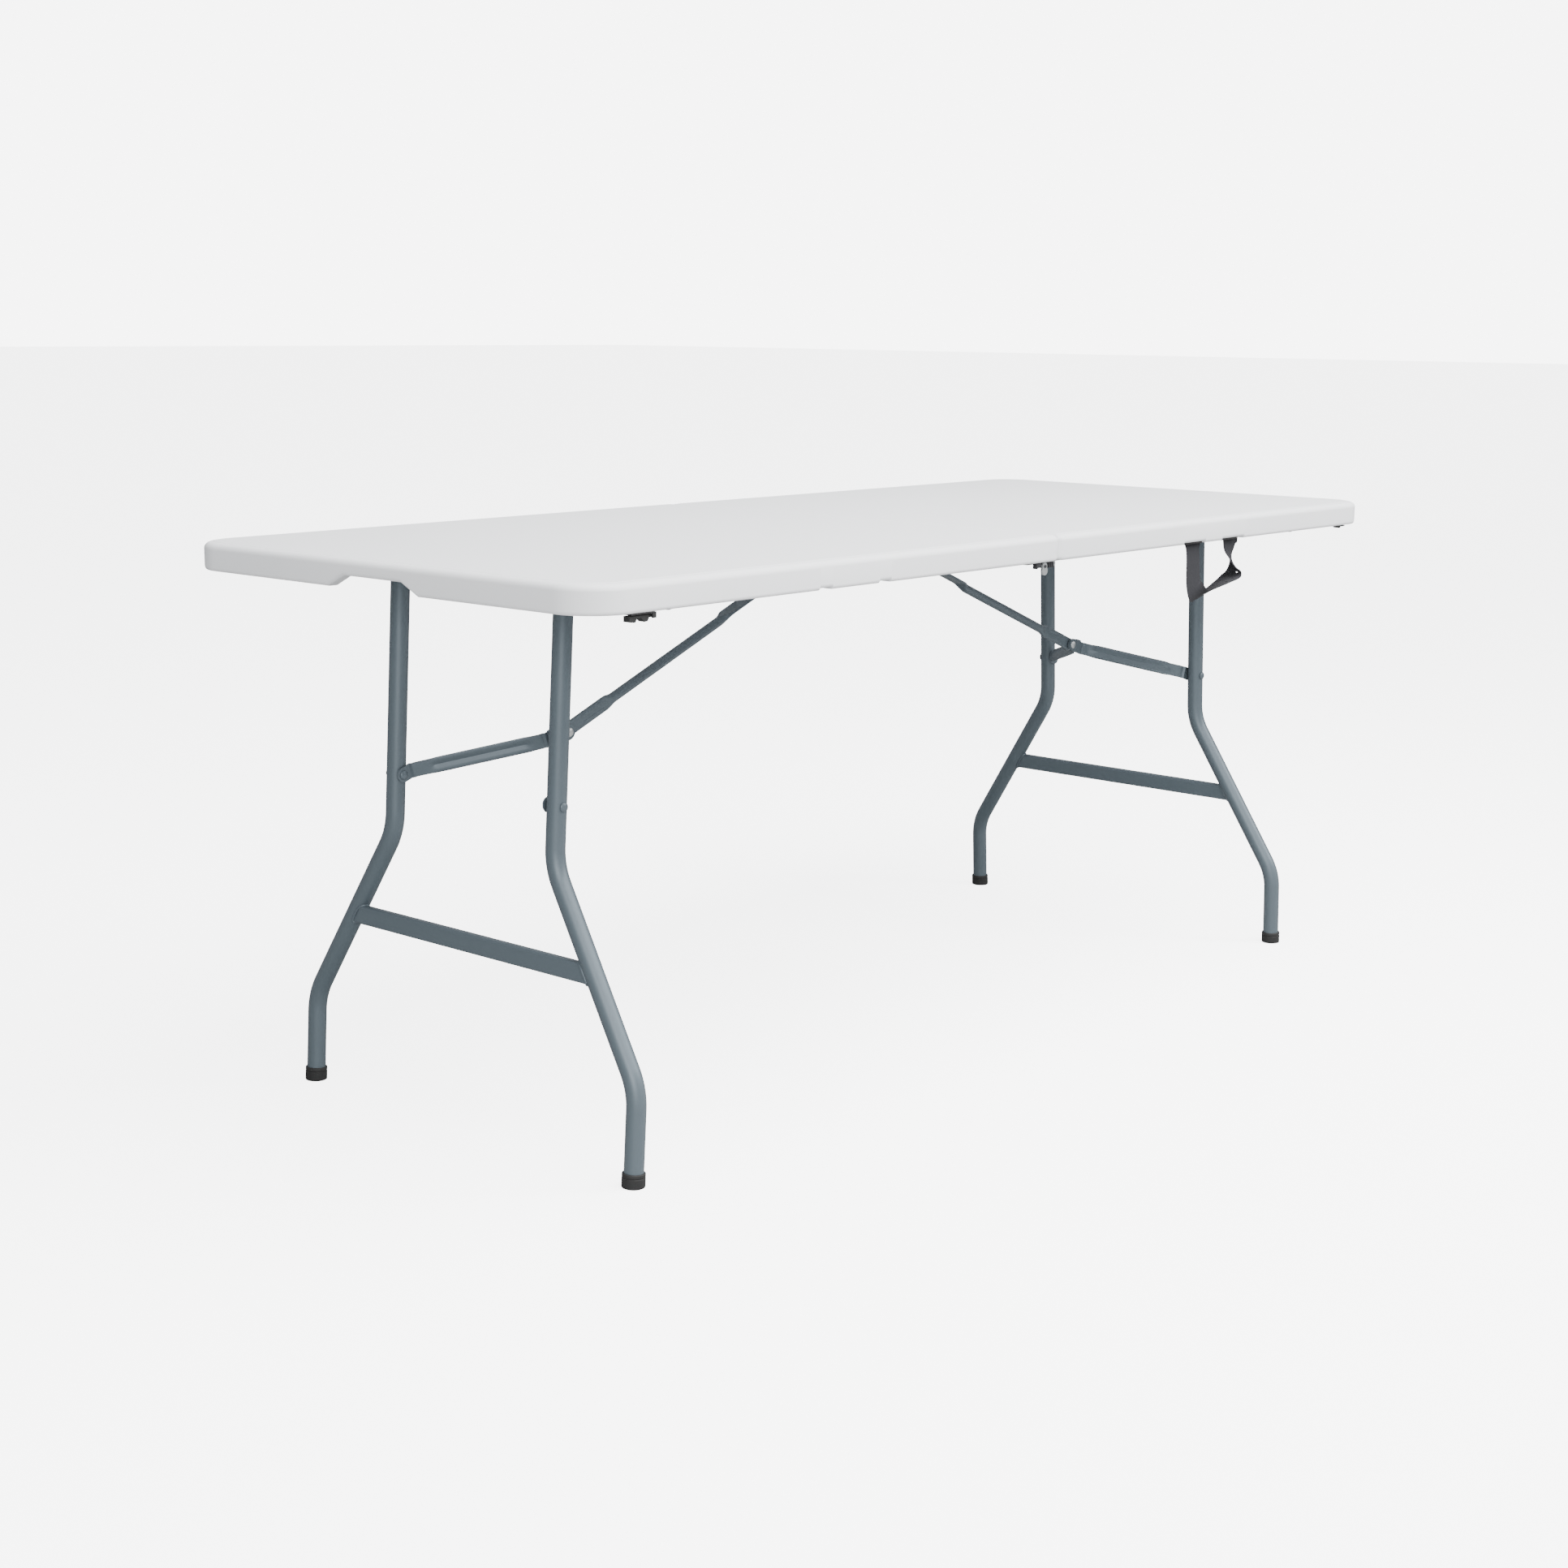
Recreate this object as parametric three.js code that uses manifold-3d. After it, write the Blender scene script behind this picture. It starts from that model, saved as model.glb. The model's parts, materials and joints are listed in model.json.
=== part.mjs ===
// A fold-in-half table: a moulded top in two hinged halves, and a wishbone leg frame at each end that
// folds up into the underside. Millimetres, +Z up, +X along the length, the floor at z = 0 under the
// middle of the table. "Front" is -Y and "back" is +Y.
import * as THREE from "three";
import { mergeVertices } from "three/addons/utils/BufferGeometryUtils.js";
import { ConvexGeometry } from "three/addons/geometries/ConvexGeometry.js";
import Module from "manifold-3d";

const wasm = await Module();
wasm.setup();

// ---------------------------------------------------------------- driving dimensions
const TABLE_LENGTH = 1800;
const TABLE_WIDTH = 740;
const TABLE_HEIGHT = 740;
const GAP = 0.3; // kept between pieces that touch
const BIG = 3000; // longer than the table, for cutting tools

// the moulded top
const EDGE_DEPTH = 36; // height of the rim that shows all round
const PLATE = 12; // thickness of the top over the recess
const RIM = 18; // thickness of the rim
const SEAM_WALL = 9; // thickness of the rim along the seam
const SEAM_GAP = 1.5; // between the two halves
const CORNER_RADIUS = 60;
const SEAM_CORNER_RADIUS = 9;
const EDGE_ROUND = 6;
const RIM_BOTTOM = TABLE_HEIGHT - EDGE_DEPTH;
const UNDERSIDE = TABLE_HEIGHT - PLATE;
const GRIP = { base: 164, crown: 104, depth: 15 }; // hand-grip notch in each short end
const NOTCH_DEPTH = 2.5; // shallow cuts in the front rim, where the carry strap passes
const NOTCHES = { left: [[-512, -487], [-396, -372]], right: [[325, 387], [434, 500]] };

// rails, brackets and the seam hinges under the top
const RAIL = { y: 335, width: 22, sheet: 1.5, start: 18, end: 765 };
const RAIL_TOP = UNDERSIDE - GAP;
const BRACKET = { thick: 5, half: 20, below: 16.5 };
const HINGE = { z: 700, pin: 2.1, bore: 2.5, barrel: 4.6, plate: 2.5, near: 5, far: 60 };
const HINGE_Y = { inner: 326, one: 334, two: 350, outer: 358 };

// the leg frames
const LEG_HINGE = { x: 728, z: 712 };
const SPLAY = THREE.MathUtils.degToRad(3.3); // the legs lean outwards
const TUBE_RADIUS = 12.5;
const TUBE_WALL = 1.3;
const LEG_SPACING = { top: 150, foot: 303 }; // from the middle plane to each tube's axis
const BEND_HEIGHT = { upper: 367, lower: 119.6 };
const BEND_RADIUS = 85;
const CROSS_TUBE_HALF = 340;
const CROSSBAR = { z: 246, high: 25, thick: 13, wall: 1.4, outward: 3 };
const FOOT = { radius: 14.7, height: 19, floor: 4.3 };
const RIVET = { shank: 3, head: 6, dome: 2.4, bore: 3.35 };

// the knee brace: arms from the legs to the knuckle, then one tube up to a pin by the seam
const ARM_PIVOT_DROP = 270.4; // along the leg from its hinge to the arm's rivet
const ARM_LENGTH = 168.4;
const ARM = { half: 10, sheet: 2.5, tab: 14, knuckleTab: 28, bend: 7, bead: 4, beadHalf: 6 };
const PIN = { x: 28, z: 716, radius: 5, bore: 5.4, half: 18 };
const PIVOT_EAR = { inner: 13, sheet: 2.5, half: 9, flange: 14 };
const BRACE = { half: 10, thick: 5.8, radius: 7, flatEnd: 78, taper: 14 };
const BRACE_TOP = { taperStart: 318, taper: 18, half: 12, low: 1.6, high: 5.6, eye: 8 };
const CLEVIS = { inner: 3.5, sheet: 2, ear: 9.5, reach: 26, web: 10.8, webEnd: 16 };

// the pieces along the front rim
const LATCH = { x: -31, z: 698.5, y: -364, eye: 5, bob: 6.5, drop: 6, sheet: 3.2 };
const CLIP = { x: -815, y: -360, z: 699.6, half: 20 };
const STRAP = { y: -358, thick: 3, top: 701.2 };
const ANCHOR = { low: 703.5, high: 706.2, half: 8 };

// ---------------------------------------------------------------- solids
const ROUND = 10; // curve segments of a half turn on small round pieces
const FINE = 16;

/** A closed three.js geometry as a manifold solid. */
function solid(geometry, matrix = null) {
  const bare = geometry.clone();
  bare.deleteAttribute("normal");
  if (bare.attributes.uv) {
    bare.deleteAttribute("uv");
  }
  if (matrix) {
    bare.applyMatrix4(matrix);
  }
  const merged = mergeVertices(bare, 1e-4);
  const mesh = new wasm.Mesh({
    numProp: 3,
    vertProperties: new Float32Array(merged.attributes.position.array),
    triVerts: new Uint32Array(merged.index.array),
  });
  return new wasm.Manifold(mesh);
}

/** A manifold solid as a three.js geometry. */
function geometryOf(manifold) {
  const { vertProperties, triVerts, numProp } = manifold.getMesh();
  const points = new Float32Array((vertProperties.length / numProp) * 3);
  for (let i = 0; i < points.length / 3; i++) {
    points.set(vertProperties.subarray(i * numProp, i * numProp + 3), i * 3);
  }
  const geometry = new THREE.BufferGeometry();
  geometry.setAttribute("position", new THREE.BufferAttribute(points, 3));
  geometry.setIndex(new THREE.BufferAttribute(new Uint32Array(triVerts), 1));
  geometry.computeVertexNormals();
  return geometry;
}

const join = (...parts) => parts.reduce((whole, part) => whole.add(part));
const cut = (body, ...tools) => tools.reduce((rest, tool) => rest.subtract(tool), body);
const at = (x, y, z) => new THREE.Matrix4().makeTranslation(x, y, z);

/** A block between two corners. */
function block([x0, x1], [y0, y1], [z0, z1]) {
  const box = new THREE.BoxGeometry(x1 - x0, y1 - y0, z1 - z0);
  return solid(box, at((x0 + x1) / 2, (y0 + y1) / 2, (z0 + z1) / 2));
}

/** A cylinder along Y, centred at (x, z), between two values of y. */
function barY(radius, x, z, y0, y1, segments = FINE) {
  const rod = new THREE.CylinderGeometry(radius, radius, Math.abs(y1 - y0), segments);
  return solid(rod, at(x, (y0 + y1) / 2, z));
}

/** A shape drawn in X and Z, made solid between two values of y. */
function plateXZ(shape, y0, y1, segments = ROUND) {
  const depth = Math.abs(y1 - y0);
  const geometry = new THREE.ExtrudeGeometry(shape, { depth, bevelEnabled: false, curveSegments: segments });
  geometry.rotateX(Math.PI / 2);
  return solid(geometry, at(0, Math.max(y0, y1), 0));
}

/** A shape drawn in Y and Z, made solid between two values of x. */
function plateYZ(shape, x0, x1) {
  const options = { depth: x1 - x0, bevelEnabled: false, curveSegments: ROUND };
  const geometry = new THREE.ExtrudeGeometry(shape, options);
  geometry.rotateX(Math.PI / 2).rotateZ(Math.PI / 2);
  return solid(geometry, at(x0, 0, 0));
}

/** A turned piece along Y from a profile of [radius, y] points that starts and ends on the axis. */
function turnedY(profile, segments = FINE) {
  return solid(new THREE.LatheGeometry(profile.map(([r, y]) => new THREE.Vector2(r, y)), segments));
}

/** A polygon from its corners. */
function polygon(points) {
  return new THREE.Shape(points.map(([x, y]) => new THREE.Vector2(x, y)));
}

/** A strap outline from a square end at x0 to a round end centred on x1. */
function tongue(x0, x1, half) {
  const shape = new THREE.Shape();
  shape.moveTo(x0, -half);
  shape.lineTo(x1, -half);
  shape.absarc(x1, 0, half, -Math.PI / 2, Math.PI / 2, false);
  shape.lineTo(x0, half);
  shape.closePath();
  return shape;
}

/** The convex body through two outlines, each a list of points. */
function loft(first, second) {
  const points = [...first, ...second].map(([x, y, z]) => new THREE.Vector3(x, y, z));
  return solid(new ConvexGeometry(points));
}

// ---------------------------------------------------------------- bent tubes and strips
/**
 * A path of straight runs with rounded corners whose sections stand only where the path bends,
 * so that an extrusion along it spends no faces on the straight runs.
 */
class BentPath extends THREE.Curve {
  constructor(corners, radius, perBend = 5) {
    super();
    this.stations = [];
    const points = corners.map((c) => new THREE.Vector3(...c));
    const last = points.length - 1;
    this.addStation(points[0], points[1].clone().sub(points[0]).normalize());
    for (let i = 1; i < last; i++) {
      this.addBend(points[i - 1], points[i], points[i + 1], radius, perBend);
    }
    this.addStation(points[last], points[last].clone().sub(points[last - 1]).normalize());
  }

  addStation(point, tangent) {
    this.stations.push({ point, tangent });
  }

  addBend(before, corner, after, radius, perBend) {
    const into = corner.clone().sub(before).normalize();
    const out = after.clone().sub(corner).normalize();
    const turn = into.angleTo(out);
    const inward = out.clone().sub(into).normalize();
    const centre = corner.clone().addScaledVector(inward, radius / Math.cos(turn / 2));
    const start = corner.clone().addScaledVector(into, -radius * Math.tan(turn / 2));
    const spoke = start.sub(centre);
    const axis = new THREE.Vector3().crossVectors(into, out).normalize();
    for (let k = 0; k < perBend; k++) {
      const angle = (turn * k) / (perBend - 1);
      const point = spoke.clone().applyAxisAngle(axis, angle).add(centre);
      this.addStation(point, into.clone().applyAxisAngle(axis, angle));
    }
  }

  get steps() {
    return this.stations.length - 1;
  }

  station(u) {
    return this.stations[Math.round(u * this.steps)];
  }

  getPointAt(u, target = new THREE.Vector3()) {
    return target.copy(this.station(u).point);
  }

  getPoint(u, target = new THREE.Vector3()) {
    return this.getPointAt(u, target);
  }

  getTangentAt(u, target = new THREE.Vector3()) {
    return target.copy(this.station(u).tangent);
  }
}

/** A section swept along a bent path. */
function sweep(section, path, curveSegments = 8) {
  const options = { steps: path.steps, bevelEnabled: false, extrudePath: path, curveSegments };
  return solid(new THREE.ExtrudeGeometry(section, options));
}

/** A round section, hollow where a wall is given. */
function roundSection(radius, wall = 0) {
  const shape = new THREE.Shape();
  shape.absarc(0, 0, radius, 0, 2 * Math.PI, false);
  if (wall) {
    const bore = new THREE.Path();
    bore.absarc(0, 0, radius - wall, 0, 2 * Math.PI, false);
    shape.holes.push(bore);
  }
  return shape;
}

/** A rectangle about the origin with its corners cut at 45 degrees. */
function chamferedRect(width, height, chamfer) {
  const x = width / 2;
  const y = height / 2;
  const c = chamfer;
  return [
    [x, y - c], [x - c, y], [c - x, y], [-x, y - c],
    [-x, c - y], [c - x, -y], [x - c, -y], [x, c - y],
  ];
}

// ---------------------------------------------------------------- materials
function material(color, roughness, metalness) {
  return new THREE.MeshStandardMaterial({ color, roughness, metalness });
}

const MOULDED_WHITE = material(0xeceef0, 0.5, 0);
const HAMMERED_STEEL = material(0x4a5860, 0.4, 0.6);
const ZINC_STEEL = material(0xb4b8b8, 0.35, 0.9);
const BLACK_STEEL = material(0x1e2022, 0.45, 0.5);
const BLACK_PLASTIC = material(0x101113, 0.6, 0);
const BLACK_WEBBING = material(0x17191b, 0.9, 0);

/** Hangs a solid on a group as a named mesh. */
function hang(group, name, body, finish) {
  const mesh = new THREE.Mesh(geometryOf(body), finish);
  mesh.name = name;
  group.add(mesh);
}

// ---------------------------------------------------------------- the ends of the table
/**
 * Each end is drawn as the right one and the left one is turned half round, so a side is a sign along X.
 * "row" says whether a place drawn at +Y ends at the front or at the back.
 */
const SIDES = ["left", "right"];
const row = (side, sign) => ((side === "right" ? sign : -sign) < 0 ? "front" : "back");

function endGroup(side) {
  const group = new THREE.Group();
  group.rotation.z = side === "left" ? Math.PI : 0;
  return group;
}

/** The plan outline of one half of the top, set in from its outer edge and from the seam. */
function halfPlan(inset, seamInset, outerRadius, seamRadius) {
  const x0 = SEAM_GAP / 2 + seamInset;
  const x1 = TABLE_LENGTH / 2 - inset;
  const y1 = TABLE_WIDTH / 2 - inset;
  const quarter = Math.PI / 2;
  const shape = new THREE.Shape();
  shape.absarc(x1 - outerRadius, y1 - outerRadius, outerRadius, 0, quarter, false);
  shape.absarc(x0 + seamRadius, y1 - seamRadius, seamRadius, quarter, 2 * quarter, false);
  shape.absarc(x0 + seamRadius, seamRadius - y1, seamRadius, 2 * quarter, 3 * quarter, false);
  shape.absarc(x1 - outerRadius, outerRadius - y1, outerRadius, 3 * quarter, 4 * quarter, false);
  shape.closePath();
  return shape;
}

function tabletopHalf(side) {
  const outer = new THREE.ExtrudeGeometry(halfPlan(0, 0, CORNER_RADIUS, SEAM_CORNER_RADIUS), {
    depth: EDGE_DEPTH - 2 * EDGE_ROUND,
    bevelThickness: EDGE_ROUND,
    bevelSize: EDGE_ROUND,
    bevelOffset: -EDGE_ROUND,
    bevelSegments: 2,
    curveSegments: 6,
  });
  const recess = new THREE.ExtrudeGeometry(halfPlan(RIM, SEAM_WALL, CORNER_RADIUS - RIM, 4), {
    depth: EDGE_DEPTH,
    bevelEnabled: false,
    curveSegments: 6,
  });
  const end = TABLE_LENGTH / 2;
  const grip = polygon([
    [-GRIP.base / 2, RIM_BOTTOM], [GRIP.base / 2, RIM_BOTTOM],
    [GRIP.crown / 2, RIM_BOTTOM + GRIP.depth], [-GRIP.crown / 2, RIM_BOTTOM + GRIP.depth],
  ]);
  const body = cut(
    solid(outer, at(0, 0, RIM_BOTTOM + EDGE_ROUND)),
    solid(recess, at(0, 0, UNDERSIDE - EDGE_DEPTH)),
    plateYZ(grip, end - RIM - 1, end + 1),
    block([end - RIM - 1, end + 1], [-GRIP.base / 2, GRIP.base / 2], [RIM_BOTTOM - 9, RIM_BOTTOM]),
  );
  // the front rim of the left end lies at +Y in the frame that it is drawn in
  const turn = side === "left" ? -1 : 1;
  const front = -turn * (TABLE_WIDTH / 2 - RIM / 2);
  const notches = NOTCHES[side].map(([x0, x1]) => block(
    [Math.min(turn * x0, turn * x1), Math.max(turn * x0, turn * x1)],
    [front - RIM / 2 - 1, front + RIM / 2 + 1],
    [RIM_BOTTOM - 9, RIM_BOTTOM + NOTCH_DEPTH],
  ));
  return cut(body, ...notches);
}

/** A channel with its web against the underside, open below where the leg cross tube turns. */
function rail(sign) {
  const y = sign * RAIL.y;
  const half = RAIL.width / 2;
  const body = cut(
    block([RAIL.start, RAIL.end], [y - half, y + half], [RIM_BOTTOM, RAIL_TOP]),
    block([0, TABLE_LENGTH], [y - half + RAIL.sheet, y + half - RAIL.sheet], [0, RAIL_TOP - RAIL.sheet]),
  );
  const open = TUBE_RADIUS + 0.6;
  return cut(
    body,
    barY(open, LEG_HINGE.x, LEG_HINGE.z, y - RAIL.width, y + RAIL.width, 24),
    block([LEG_HINGE.x - open, LEG_HINGE.x + open], [y - RAIL.width, y + RAIL.width], [0, LEG_HINGE.z]),
  );
}

/** The plate beside a rail's end that the leg cross tube turns in. */
function legBracket(sign) {
  const { x, z } = LEG_HINGE;
  const face = RAIL.y - RAIL.width / 2 - GAP;
  const ys = [sign * face, sign * (face - BRACKET.thick)].sort((a, b) => a - b);
  const shape = new THREE.Shape();
  shape.moveTo(x - BRACKET.half, RAIL_TOP);
  shape.absarc(x, z, BRACKET.below, Math.PI, 2 * Math.PI, false);
  shape.lineTo(x + BRACKET.half, RAIL_TOP);
  shape.closePath();
  return cut(plateXZ(shape, ...ys), barY(TUBE_RADIUS + 0.6, x, z, ys[0] - 1, ys[1] + 1, 24));
}

/** One leaf of a seam hinge: its plate under the rail, and its share of the barrel's knuckles. */
function hingeLeaf(sign, knuckles, widest) {
  const top = RIM_BOTTOM - GAP;
  const range = (a, b) => [sign * a, sign * b].sort((p, q) => p - q);
  const plate = block([HINGE.near, HINGE.far], range(HINGE_Y.inner, widest), [top - HINGE.plate, top]);
  const barrels = knuckles.flatMap(([a, b]) => {
    const ys = range(a, b);
    const neck = block([1, HINGE.near + 1], ys, [top - HINGE.plate, top]);
    return [barY(HINGE.barrel, 0, HINGE.z, ...ys), neck];
  });
  return cut(join(plate, ...barrels), barY(HINGE.bore, 0, HINGE.z, -BIG, BIG));
}

/** Both leaves at one end of the seam share the knuckles: the left takes the outer ones. */
function leafKnuckles(side) {
  const { inner, one, two, outer } = HINGE_Y;
  if (side === "left") {
    return { knuckles: [[inner, one], [two, outer]], widest: outer };
  }
  return { knuckles: [[one + GAP, two - GAP]], widest: two - GAP };
}

/** The bracket that hangs the brace from the underside: a base plate with an ear each side of the brace. */
function braceBracket() {
  const { inner, sheet, half, flange } = PIVOT_EAR;
  const outline = new THREE.Shape();
  outline.moveTo(PIN.x - half, RAIL_TOP);
  outline.absarc(PIN.x, PIN.z, half, Math.PI, 2 * Math.PI, false);
  outline.lineTo(PIN.x + half, RAIL_TOP);
  outline.closePath();
  const wide = inner + sheet + flange;
  const body = join(
    plateXZ(outline, -inner - sheet, -inner),
    plateXZ(outline, inner, inner + sheet),
    block([PIN.x - half, PIN.x + half], [-wide, wide], [RAIL_TOP - sheet, RAIL_TOP]),
  );
  return cut(body, barY(PIN.radius + GAP, PIN.x, PIN.z, -wide, wide));
}

/** The fixed hardware of one half: rails, leg brackets, hinge leaves, and the brace's bracket and pin. */
function halfHardware(side, group) {
  hang(group, `tabletop_${side}`, tabletopHalf(side), MOULDED_WHITE);
  for (const sign of [-1, 1]) {
    const place = `${side}_${row(side, sign)}`;
    const { knuckles, widest } = leafKnuckles(side);
    hang(group, `rail_${place}`, rail(sign), HAMMERED_STEEL);
    hang(group, `leg_bracket_${place}`, legBracket(sign), HAMMERED_STEEL);
    hang(group, `hinge_leaf_${place}`, hingeLeaf(sign, knuckles, widest), BLACK_STEEL);
  }
  hang(group, `brace_bracket_${side}`, braceBracket(), HAMMERED_STEEL);
  hang(group, `brace_pin_${side}`, barY(PIN.radius, PIN.x, PIN.z, -PIN.half, PIN.half), ZINC_STEEL);
}

// ---------------------------------------------------------------- leg frame, drawn about its hinge
const lean = Math.cos(SPLAY);
const drop = (height) => -(LEG_HINGE.z - height) / lean; // a height above the floor, along the leaning leg
const LEG_END = drop(0);

function legPath(sign, top, bottom) {
  const { top: y0, foot: y1 } = LEG_SPACING;
  return new BentPath([
    [0, sign * y0, top],
    [0, sign * y0, drop(BEND_HEIGHT.upper)],
    [0, sign * y1, drop(BEND_HEIGHT.lower)],
    [0, sign * y1, bottom],
  ], BEND_RADIUS);
}

function legTube(sign) {
  const tube = sweep(roundSection(TUBE_RADIUS, TUBE_WALL), legPath(sign, 0, LEG_END + FOOT.floor));
  const y = sign * LEG_SPACING.top;
  return cut(
    tube,
    barY(TUBE_RADIUS + GAP, 0, 0, -BIG, BIG, 24),
    barY(RIVET.bore, 0, -ARM_PIVOT_DROP, y - 2 * TUBE_RADIUS, y + 2 * TUBE_RADIUS, 12),
  );
}

function crossTube() {
  const path = new BentPath([[0, -CROSS_TUBE_HALF, 0], [0, CROSS_TUBE_HALF, 0]], 1);
  return sweep(roundSection(TUBE_RADIUS, TUBE_WALL), path, 12);
}

/** The flat-sided bar between the legs, its ends shaped to the tubes. */
function crossbar() {
  const outline = chamferedRect(CROSSBAR.thick, CROSSBAR.high, 3);
  const shape = polygon(outline.map(([x, z]) => [x + CROSSBAR.outward, z + drop(CROSSBAR.z)]));
  const bore = chamferedRect(CROSSBAR.thick - 2 * CROSSBAR.wall, CROSSBAR.high - 2 * CROSSBAR.wall, 2);
  const hole = bore.map(([x, z]) => new THREE.Vector2(x + CROSSBAR.outward, z + drop(CROSSBAR.z)));
  shape.holes.push(new THREE.Path(hole));
  const slope = (LEG_SPACING.foot - LEG_SPACING.top) / (drop(BEND_HEIGHT.upper) - drop(BEND_HEIGHT.lower));
  const reach = LEG_SPACING.top + slope * (drop(BEND_HEIGHT.upper) - drop(CROSSBAR.z)) - 2;
  const room = (sign) => sweep(roundSection(TUBE_RADIUS + GAP), legPath(sign, 0, LEG_END));
  return cut(plateXZ(shape, -reach, reach), room(-1), room(1));
}

function footCap(sign, floorTool) {
  const { radius, height, floor } = FOOT;
  const low = LEG_END - 1;
  const bore = TUBE_RADIUS + GAP;
  const cap = turnedY([
    [0, low], [radius - 1.5, low], [radius, low + 1.5], [radius, low + height - 1.5],
    [radius - 1, low + height], [bore, low + height],
    [bore, LEG_END + floor - GAP], [0, LEG_END + floor - GAP],
  ], 20);
  const upright = new THREE.Matrix4().makeRotationX(Math.PI / 2).setPosition(0, sign * LEG_SPACING.foot, 0);
  return cut(solid(geometryOf(cap), upright), floorTool);
}

/** A rivet along Y with a domed head at each end of its shank. */
function rivet(from, to) {
  const { shank, head, dome } = RIVET;
  return turnedY([
    [0, from - dome], [head - 2.2, from - dome], [head, from - dome + 1.4], [head, from], [shank, from],
    [shank, to], [head, to], [head, to + dome - 1.4], [head - 2.2, to + dome], [0, to + dome],
  ]);
}

function legRivet(sign) {
  const inner = LEG_SPACING.top - TUBE_RADIUS - 2 * GAP - ARM.sheet - GAP;
  const outer = LEG_SPACING.top + TUBE_RADIUS + GAP;
  const body = sign > 0 ? rivet(inner, outer) : rivet(-outer, -inner);
  return solid(geometryOf(body), at(0, 0, -ARM_PIVOT_DROP));
}

function legFrame(side, group) {
  const frame = new THREE.Group();
  frame.position.set(LEG_HINGE.x, 0, LEG_HINGE.z);
  frame.rotation.y = -SPLAY;
  frame.updateMatrix();
  group.add(frame);
  const floorBox = new THREE.BoxGeometry(BIG, BIG, 100);
  const floorTool = solid(floorBox, frame.matrix.clone().invert().multiply(at(0, 0, -50)));
  hang(frame, `leg_cross_tube_${side}`, crossTube(), HAMMERED_STEEL);
  hang(frame, `leg_crossbar_${side}`, crossbar(), HAMMERED_STEEL);
  for (const sign of [-1, 1]) {
    const place = `${side}_${row(side, sign)}`;
    hang(frame, `leg_tube_${place}`, legTube(sign), HAMMERED_STEEL);
    hang(frame, `foot_cap_${place}`, footCap(sign, floorTool), BLACK_PLASTIC);
    hang(frame, `leg_rivet_${place}`, legRivet(sign), HAMMERED_STEEL);
  }
}

// ---------------------------------------------------------------- knee brace
/** The three pivots of the brace at rest, and its tube's length, in the plane of the middle of the table. */
function braceGeometry() {
  const hinge = new THREE.Vector3(LEG_HINGE.x, 0, LEG_HINGE.z);
  const out = new THREE.Vector3(Math.sin(SPLAY), 0, -lean);
  const armPivot = hinge.clone().addScaledVector(out, ARM_PIVOT_DROP);
  const pin = new THREE.Vector3(PIN.x, 0, PIN.z);
  // with the leg folded flat, the arm lies back along it and the knuckle is here
  const foldedKnuckle = new THREE.Vector3(LEG_HINGE.x - ARM_PIVOT_DROP + ARM_LENGTH, 0, LEG_HINGE.z);
  const braceLength = foldedKnuckle.distanceTo(pin);
  // at rest the knuckle stands where both lengths meet, just under the straight line
  const line = pin.clone().sub(armPivot);
  const span = line.length();
  const along = (ARM_LENGTH ** 2 - braceLength ** 2 + span ** 2) / (2 * span);
  const below = Math.sqrt(ARM_LENGTH ** 2 - along ** 2);
  line.normalize();
  const down = new THREE.Vector3(-line.z, 0, line.x);
  const knuckle = armPivot.clone().addScaledVector(line, along).addScaledVector(down, below);
  return { armPivot, pin, knuckle, braceLength };
}

/** A group at one pivot whose X runs to the next one and whose Z is up. */
function linkGroup(from, to) {
  const x = to.clone().sub(from).normalize();
  const y = new THREE.Vector3(0, -1, 0);
  const z = new THREE.Vector3().crossVectors(x, y);
  const group = new THREE.Group();
  group.matrixAutoUpdate = false;
  group.matrix.makeBasis(x, y, z).setPosition(from);
  return group;
}

/** A strip from the inner face of a leg to the knuckle, with a raised bead along its slanting part. */
function braceArm(sign) {
  const yLeg = sign * (LEG_SPACING.top - TUBE_RADIUS - 2 * GAP - ARM.sheet / 2);
  const yKnuckle = sign * (CLEVIS.inner + CLEVIS.sheet + GAP + ARM.sheet / 2);
  const first = [ARM.tab, yLeg, 0];
  const second = [ARM_LENGTH - ARM.knuckleTab, yKnuckle, 0];
  const path = new BentPath([[0, yLeg, 0], first, second, [ARM_LENGTH, yKnuckle, 0]], ARM.bend, 4);
  const strip = sweep(polygon(chamferedRect(2 * ARM.half, ARM.sheet, 0.6)), path);
  const mix = (share) => first.map((value, i) => value + (second[i] - value) * share);
  const ridge = polygon([
    [-ARM.beadHalf, 0], [0, sign * (ARM.sheet / 2 + ARM.bead)], [ARM.beadHalf, 0],
  ]);
  const bead = sweep(ridge, new BentPath([mix(0.12), mix(0.86)], 1));
  const eye = (x, y) => barY(ARM.half, x, 0, y - ARM.sheet / 2, y + ARM.sheet / 2, 20);
  const hole = (x, y) => barY(RIVET.bore, x, 0, y - 4, y + 4, 12);
  const body = join(strip, bead, eye(0, yLeg), eye(ARM_LENGTH, yKnuckle));
  return cut(body, hole(0, yLeg), hole(ARM_LENGTH, yKnuckle));
}

/** The folded sheet that joins the arms: an ear each side of the brace and a web over it. */
function clevis() {
  const { inner, sheet, ear, reach, web, webEnd } = CLEVIS;
  const x0 = ARM_LENGTH - reach;
  const outline = join(
    plateXZ(tongue(x0, ARM_LENGTH, ear), -inner - sheet, inner + sheet),
    block([x0, ARM_LENGTH - webEnd], [-inner - sheet, inner + sheet], [0, web + sheet]),
  );
  const room = block([x0 - 1, ARM_LENGTH + ear + 1], [-inner, inner], [-ear - 1, web]);
  return cut(outline, room, barY(RIVET.bore, ARM_LENGTH, 0, -ear, ear, 12));
}

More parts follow.
